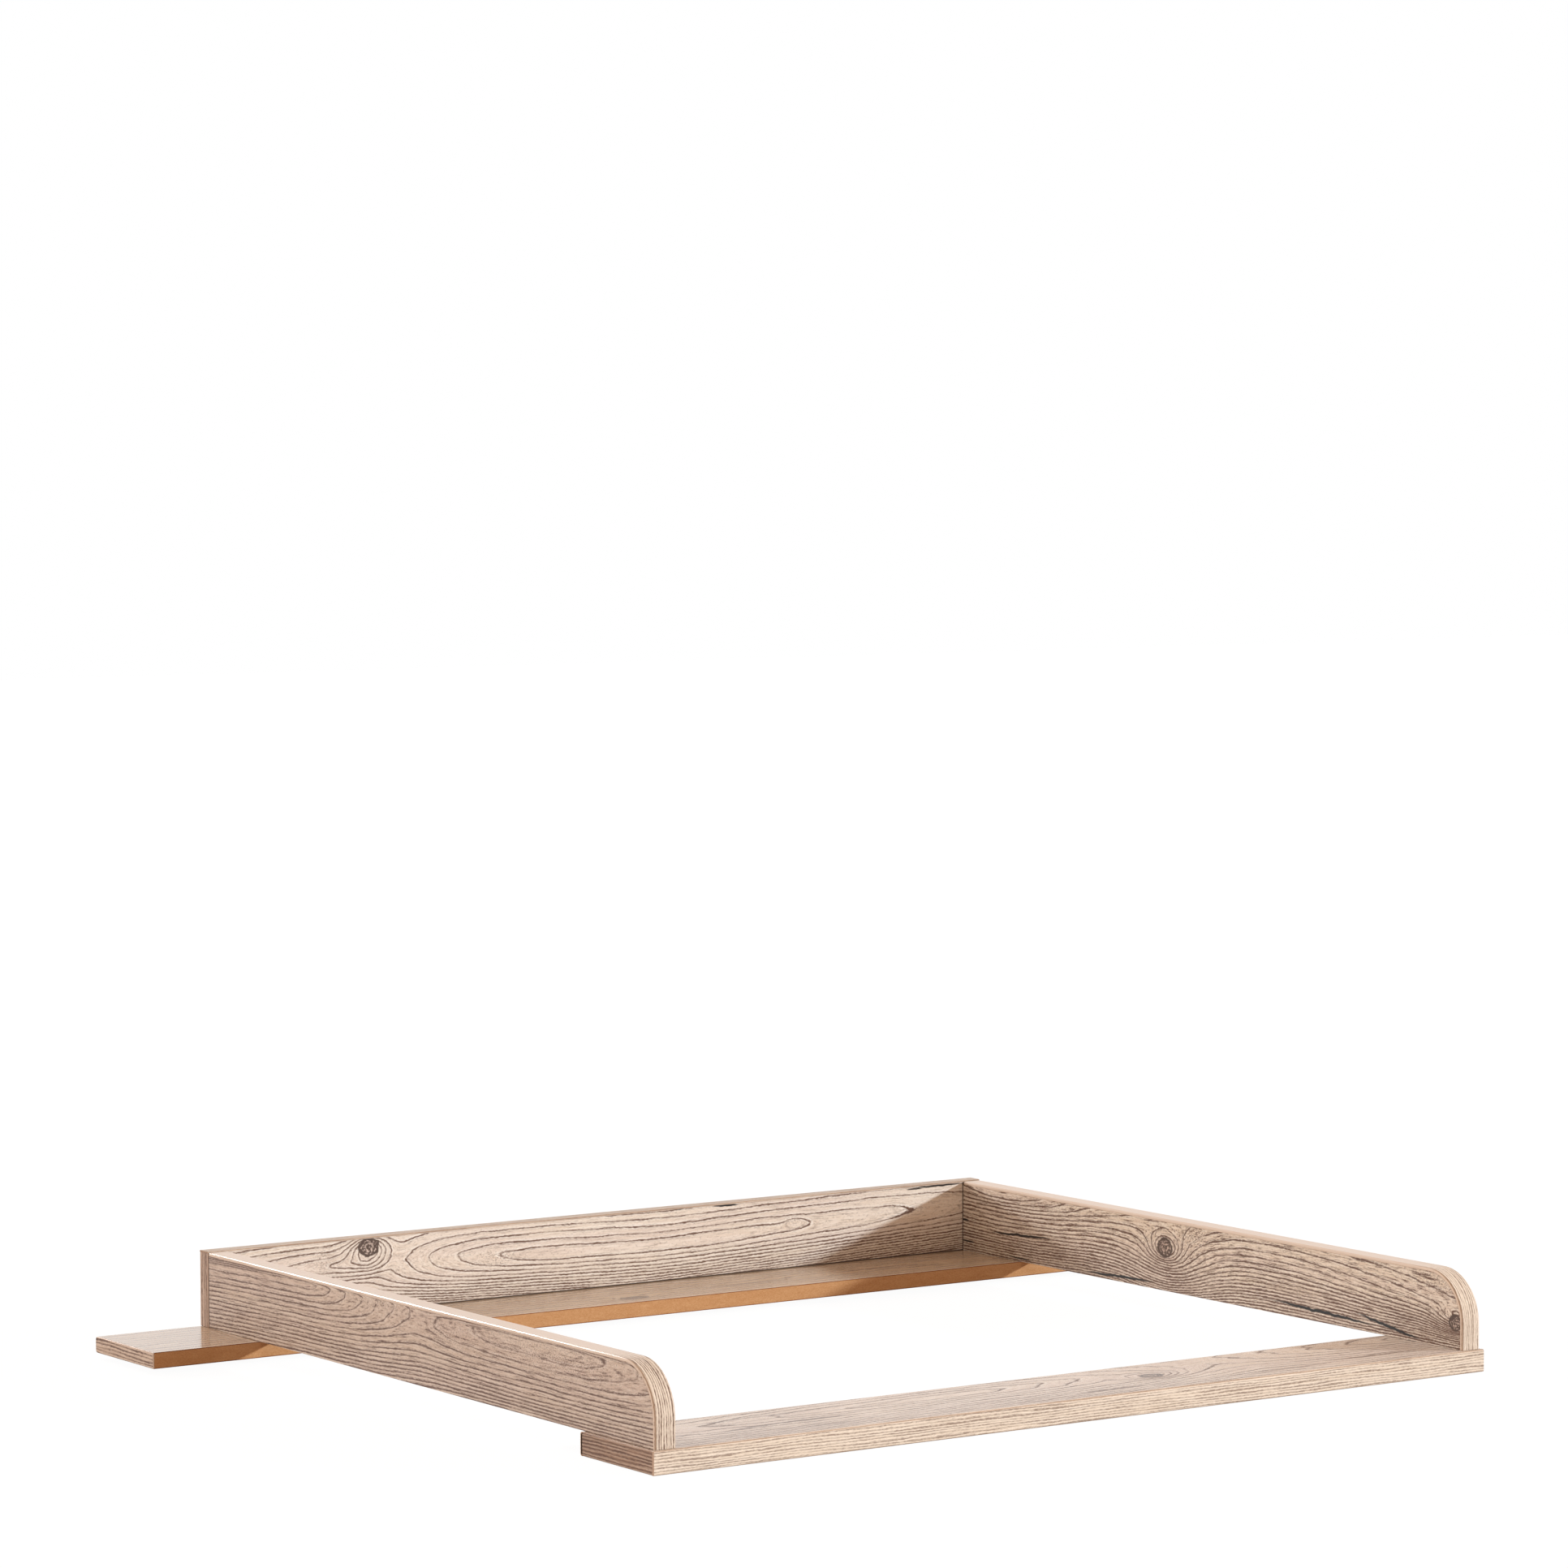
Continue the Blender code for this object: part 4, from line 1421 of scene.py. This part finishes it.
@dataclass(frozen=True)
class BackRail:
    """The back rail with a band along its top and on both ends."""

    half_length: float = 475.0 * MILLIMETRE
    middle: float = 414.15 * MILLIMETRE
    top: float = 98.3 * MILLIMETRE
    section: Section = Section(18.0 * MILLIMETRE, 1.5 * MILLIMETRE, 1.2 * MILLIMETRE)
    brown: Colour = (0.56, 0.44, 0.335)
    browner: Colour = (0.49, 0.375, 0.275)
    figure: Figure = Figure(
        seed=41.0, contrast=1.3, distance=9.0, strokes=0.7, waves=0.85, meeting=1.2, shade=(1.01, 1.05, 1.08),
        hearts=(Heart(50.0, 61.0, 187.0, 190.0, 7.1, 8.6, 0.0, 3.0, 1.2, 0.03, 0.035, 3.7),
                Heart(-298.0, 72.0, 60.0, 14.0, 6.0, 6.0, 2.5, crowding=3.0)),
        swells=(Swell(-291.0, 87.0, 22.0, 14.0, -5.0), Swell(233.0, 72.0, 14.0, 5.0, -0.8)),
        seams=(Seam(True, 22.2, 1.4, 1.0), Seam(False, 452.9, 1.3)),
        patches=(Swell(-345.0, 78.0, 10.0, 14.0, 0.9), Swell(-142.0, 64.0, 20.0, 9.0, 0.9),
                 Swell(228.0, 73.0, 12.0, 6.0, 0.8)),
        knots=(Knot(-291.3, 87.7, 11.8, 9.6),),
        cracks=(Crack(143.0, 96.0, 19.0, 1.5, -1.0), Crack(86.0, 96.6, 5.0, 0.8),
                Crack(418.0, 95.4, 38.0, 1.2, 0.4), Crack(388.0, 94.4, 12.0, 0.9, -2.0)))

    def build(self, stock: Stock) -> None:
        """Dresses the core and sweeps its top band."""
        stock.board("back_rail", Run.SIDEWAYS, self.figure, -1.0)
        finish = replace(stock.print_, pale=self.brown, tint=self.browner)
        material = finish.dress("back_rail_band_print", self.section, 44.0)
        glued = self.top - self.section.thickness
        path = ((-self.half_length, self.middle, glued), (self.half_length, self.middle, glued))
        stock.band("back_rail_band_top", "back_rail_band", path, self.section, material, -90.0)
        log.info("back rail dressed")


@dataclass(frozen=True)
class FrontBoard:
    """The front board, banded all round."""

    half_length: float = 478.0 * MILLIMETRE
    front: float = -420.15 * MILLIMETRE
    back: float = -304.15 * MILLIMETRE
    middle: float = 11.0 * MILLIMETRE
    front_section: Section = Section(22.0 * MILLIMETRE, 3.0 * MILLIMETRE, 1.8 * MILLIMETRE)
    back_section: Section = Section(22.0 * MILLIMETRE, 3.0 * MILLIMETRE, 2.8 * MILLIMETRE)
    figure: Figure = Figure(
        seed=53.0, contrast=1.15, distance=9.0, strokes=0.7, waves=1.3, gloss=0.27, shade=(0.94, 0.97, 1.00),
        split=(0.15, 0.085, 0.06), bold=1.6,
        hearts=(Heart(-100.0, -338.0, 110.0, 60.0, 9.0, 9.5, 0.0, 1.2, 1.2, -0.02, 0.0, 0.5),
                Heart(480.0, -325.0, 48.0, 500.0, 9.0, 9.0, 1.0, rise_before=0.02)),
        swells=(Swell(121.0, -357.0, 30.0, 16.0, -3.5),),
        knots=(Knot(121.0, -358.5, 12.5, 8.0, 0.95),),
        cracks=(Crack(-337.0, -371.5, 42.0, 3.4, 7.0, 0.8), Crack(-272.0, -368.4, 50.0, 4.0, 0.0, 0.85),
                Crack(-273.0, -398.0, 26.0, 2.4, 8.0, 0.45), Crack(-66.0, -375.0, 14.0, 2.6, 4.0, 0.5),
                Crack(45.0, -398.0, 50.0, 3.8, 2.6, 0.85), Crack(375.0, -389.0, 70.0, 3.4, 0.0, 0.8),
                Crack(255.0, -401.0, 70.0, 2.6, 4.0, 0.6), Crack(-300.0, -330.0, 105.0, 3.0, 2.4, 0.5),
                Crack(-257.0, -343.0, 150.0, 2.4, 1.5, 0.4)))

    def build(self, stock: Stock) -> None:
        """Dresses the core and sweeps its front and back bands."""
        stock.board("front_board", Run.FLAT, self.figure, 1.0)
        for side, place, end, section, name, seed in (
                ("front", self.front, self.half_length, self.front_section, "front_band_print", 61.0),
                ("back", self.back, -self.half_length, self.back_section, "front_board_back_print", 64.0)):
            material = stock.print_.dress(name, section, seed)
            path = ((-end, place, self.middle), (end, place, self.middle))
            stock.band("front_board_band_" + side, "front_board_" + side, path, section, material)
        log.info("front board dressed")


@dataclass(frozen=True)
class RearBoard:
    """The rear board: banded ends and back, raw front edge."""

    half_length: float = 590.5 * MILLIMETRE
    back: float = 420.15 * MILLIMETRE
    middle: float = 14.0 * MILLIMETRE
    section: Section = Section(16.0 * MILLIMETRE, 3.0 * MILLIMETRE, 2.8 * MILLIMETRE)
    # the rear board's shade darkens and browns its tones: painted shade for its top inside the frame, which the
    # back rail shades
    figure: Figure = Figure(
        spacing=11.0, top=420.0, seed=71.0, contrast=1.0, distance=11.0, strokes=0.7, waves=1.4, gloss=0.18,
        mirror=0.25, shade=(0.84, 0.745, 0.59), split=(0.15, 0.085, 0.06), bold=1.6, coat=0.6,
        swells=(Swell(-23.0, 326.0, 26.0, 10.0, -2.4), Swell(330.0, 360.0, 150.0, 18.0, 2.0)),
        knots=(Knot(-23.0, 326.0, 16.0, 8.0),),
        cracks=(Crack(125.0, 340.5, 90.0, 2.6, -0.8, 0.75), Crack(300.0, 352.5, 60.0, 2.8, 1.6, 0.75),
                Crack(-23.0, 326.0, 17.0, 7.0, 0.0, 0.75),
                Crack(-545.0, 322.5, 60.0, 2.0, 0.0, 0.5), Crack(-150.0, 321.0, 50.0, 2.0, 5.0, 0.5)),
        # the pale seam along the top of the raw front edge is a painted highlight
        seams=(Seam(True, 301.3, 1.2, 0.85, True),), skins=(6.0, 22.0))

    def build(self, stock: Stock) -> None:
        """Dresses the core and sweeps its back band."""
        stock.board("rear_board", Run.FLAT, self.figure, 1.0)
        material = stock.print_.dress("rear_band_print", self.section, 77.0)
        path = ((self.half_length, self.back, self.middle), (-self.half_length, self.back, self.middle))
        stock.band("rear_board_band_back", "rear_board_back", path, self.section, material)
        log.info("rear board dressed")


@dataclass(frozen=True)
class EndBands:
    """The flat bands on the boards' ends, which keep their solids."""

    front: BandPrint = BandPrint(spacing=3.2, contrast=1.3, pale=(0.37, 0.22, 0.14), tint=(0.275, 0.165, 0.10),
                                 arris=(0.42, 0.28, 0.20), side=(0.60, 0.46, 0.37))
    rear: BandPrint = BandPrint(spacing=3.2, contrast=1.0, pale=(0.64, 0.49, 0.38), tint=(0.54, 0.40, 0.30))
    upright: BandPrint = BandPrint(spacing=4.6, contrast=1.1, pale=(0.47, 0.32, 0.235),
                                   tint=(0.37, 0.245, 0.17))

    def build(self) -> None:
        """Dresses the end bands."""
        for board, finish, run, seed in (("front_board", self.front, Run.BACKWARD, 81.0),
                                         ("rear_board", self.rear, Run.BACKWARD, 83.0),
                                         ("back_rail", self.upright, Run.UPWARD, 91.0)):
            for number, side in enumerate(("left", "right")):
                node = f"{board}_band_{side}"
                dress(node, finish.dress_end(node + "_print", run, seed + number))
        log.info("end bands dressed")


@dataclass(frozen=True)
class Fasteners:
    """The threaded connecting screws and the fluted dowels."""

    zinc: ZincSteel = ZincSteel()
    beech: Beech = Beech()

    def build(self, works: ScrewWorks) -> None:
        """Places a threaded screw for each screw node and dresses the dowels."""
        pattern = works.turn(self.zinc.dress("zinc_steel"))
        wood = self.beech.dress("beech")
        names = sorted(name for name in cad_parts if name.startswith("screw_"))
        for name in names:
            low, high = (Vector(corner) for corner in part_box(name))
            centre = (low + high) / 2.0
            size = high - low
            if size.y > size.z:
                head = Vector((centre.x, high.y, centre.z))
                facing = Vector((0.0, 1.0, 0.0))
            else:
                head = Vector((centre.x, centre.y, low.z))
                facing = Vector((0.0, 0.0, -1.0))
            mesh = pattern.copy()
            turn = facing.to_track_quat("Z", "Y").to_matrix().to_4x4()
            mesh.transform(Matrix.Translation(head) @ turn)
            seat(placed(name + "_threaded", mesh), "zinc_screw", name)
        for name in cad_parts:
            if name.startswith("dowel_"):
                dress(name, wood)
        log.info("%d screws threaded", len(names))


@dataclass(frozen=True)
class Lamp:
    """A far lamp.

    way is the direction in which its light travels, level how bright a white sheet that faces it looks, where
    1 is white, and angle how wide it looks, in degrees.
    """

    name: str
    way: Place
    level: float
    tint: Colour
    angle: float

    def hang(self) -> None:
        """Hangs the lamp, which lights the surfaces but leaves no glare on them."""
        lamp = bpy.data.lights.new(self.name, "SUN")
        lamp.energy = self.level * math.pi
        lamp.color = self.tint
        lamp.angle = math.radians(self.angle)
        holder = placed(self.name, lamp)
        holder.rotation_mode = "QUATERNION"
        holder.rotation_quaternion = Vector(self.way).to_track_quat("-Z", "Y")
        holder.visible_glossy = False


@dataclass(frozen=True)
class Studio:
    """Camera, lamps, floor and surroundings."""

    stand: Place = (-3.06118, -4.46432, 0.89955)
    forward: Place = (0.557664, 0.827819, -0.061046)
    right: Place = (0.829255, -0.558862, -0.003129)
    lens: float = 127.116
    sensor: float = 36.0
    sight: float = 100.0
    lamps: tuple[Lamp, ...] = (
        Lamp("key_lamp", (-0.745, 0.611, -0.268), 1.10, (0.87, 0.99, 1.08), 3.0),
        Lamp("fill_lamp", (0.50, -0.70, -0.19), 0.46, (1.0, 1.0, 1.0), 4.0),
        Lamp("rear_lamp", (0.15, -0.70, -0.50), 0.30, (1.0, 1.0, 1.0), 20.0),
        Lamp("front_lamp", (0.30, 0.60, -0.74), 0.09, (0.90, 0.86, 0.80), 40.0))
    box_stand: Place = (-0.766, 3.0, 1.84)
    box_aim: Place = (-0.45, 0.0, 0.06)
    box_width: float = 2.1
    box_height: float = 0.5
    box_power: float = 80.0
    ambient: Colour = (0.59, 0.42, 0.31)
    white: Colour = (1.0, 1.0, 1.0)
    floor_tone: Colour = (0.62, 0.58, 0.55)
    floor_roughness: float = 0.9
    floor_shadow: float = 0.06
    floor_glow: float = 1.02
    floor_half: float = 15.0
    floor_level: float = -0.0004

    def build(self) -> None:
        """Sets up everything that isn't the object."""
        self.place_camera()
        for lamp in self.lamps:
            lamp.hang()
        self.hang_soft_box()
        self.lay_floor()
        self.wrap_world()
        bpy.context.scene.view_settings.view_transform = "Standard"
        log.info("studio set")

    def place_camera(self) -> None:
        """Puts the camera where the photograph was taken from."""
        camera = bpy.data.cameras.new("camera")
        camera.lens = self.lens
        camera.sensor_width = self.sensor
        camera.clip_end = self.sight
        forward = Vector(self.forward).normalized()
        right = Vector(self.right).normalized()
        turn = Matrix((right, right.cross(forward), -forward)).transposed().to_4x4()
        holder = placed("camera", camera)
        holder.matrix_world = Matrix.Translation(self.stand) @ turn
        bpy.context.scene.camera = holder

    def hang_soft_box(self) -> None:
        """Hangs the wide box behind the object that only glosses its arrises."""
        lamp = bpy.data.lights.new("soft_box", "AREA")
        lamp.shape = "RECTANGLE"
        lamp.size = self.box_width
        lamp.size_y = self.box_height
        lamp.energy = self.box_power
        way = Vector(self.box_aim) - Vector(self.box_stand)
        turned = way.to_track_quat("-Z", "Y").to_matrix().to_4x4()
        holder = placed("soft_box", lamp)
        holder.matrix_world = Matrix.Translation(self.box_stand) @ turned
        holder.visible_diffuse = False
        holder.visible_camera = False

    def seen_directly(self, shader: Shader) -> Flow:
        """Returns 1 for what the camera, gloss and glass see, and 0 for the light on the object."""
        path = shader.add("ShaderNodeLightPath", {}, {})
        camera, glossy, glass = (Flow(shader, path.outputs[f"Is {kind} Ray"])
                                 for kind in ("Camera", "Glossy", "Transmission"))
        return (camera + glossy + glass).least(1.0)

    def lay_floor(self) -> None:
        """Lays the pale floor, which shows white and keeps a faint shadow."""
        mesh = bpy.data.meshes.new("floor")
        corners = ((-1.0, -1.0), (1.0, -1.0), (1.0, 1.0), (-1.0, 1.0))
        mesh.from_pydata([(x * self.floor_half, y * self.floor_half, self.floor_level) for x, y in corners], [],
                         [(0, 1, 2, 3)])
        shader = Surface("pale_floor")
        seen = Flow(shader, shader.add("ShaderNodeLightPath", {}, {}).outputs["Is Camera Ray"])
        mesh.materials.append(shader.finished({
            "Base Color": shader.blend(seen, self.floor_tone, self.white), "Roughness": self.floor_roughness}))
        glow = shader.add("ShaderNodeEmission", {}, {"Color": self.white, "Strength": self.floor_glow})
        share = self.seen_directly(shader) * (1.0 - self.floor_shadow)
        mix = shader.add("ShaderNodeMixShader", {}, {0: share, 1: shader.shader.outputs["BSDF"],
                                                     2: glow.outputs["Emission"]})
        shader.join(shader.output.inputs["Surface"], mix.outputs["Shader"])
        placed("floor", mesh)

    def wrap_world(self) -> None:
        """Surrounds the object with a white backdrop and a low warm light."""
        world = bpy.data.worlds.new("studio")
        world.use_nodes = True
        bpy.context.scene.world = world
        shader = Shader(world.node_tree)
        low, white = (shader.add("ShaderNodeBackground", {}, {"Color": colour, "Strength": 1.0}).outputs[0]
                      for colour in (self.ambient, self.white))
        mix = shader.add("ShaderNodeMixShader", {}, {0: self.seen_directly(shader), 1: low, 2: white})
        shader.add("ShaderNodeOutputWorld", {}, {"Surface": mix.outputs[0]})


def main() -> None:
    """Builds the studio and dresses every sub-assembly of the changing top."""
    logging.basicConfig(level=logging.INFO, format="%(name)s: %(message)s")
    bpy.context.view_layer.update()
    Studio().build()
    stock = Stock()
    SideRails().build(stock)
    BackRail().build(stock)
    FrontBoard().build(stock)
    RearBoard().build(stock)
    EndBands().build()
    Fasteners().build(ScrewWorks())


if __name__ == "__main__":
    main()
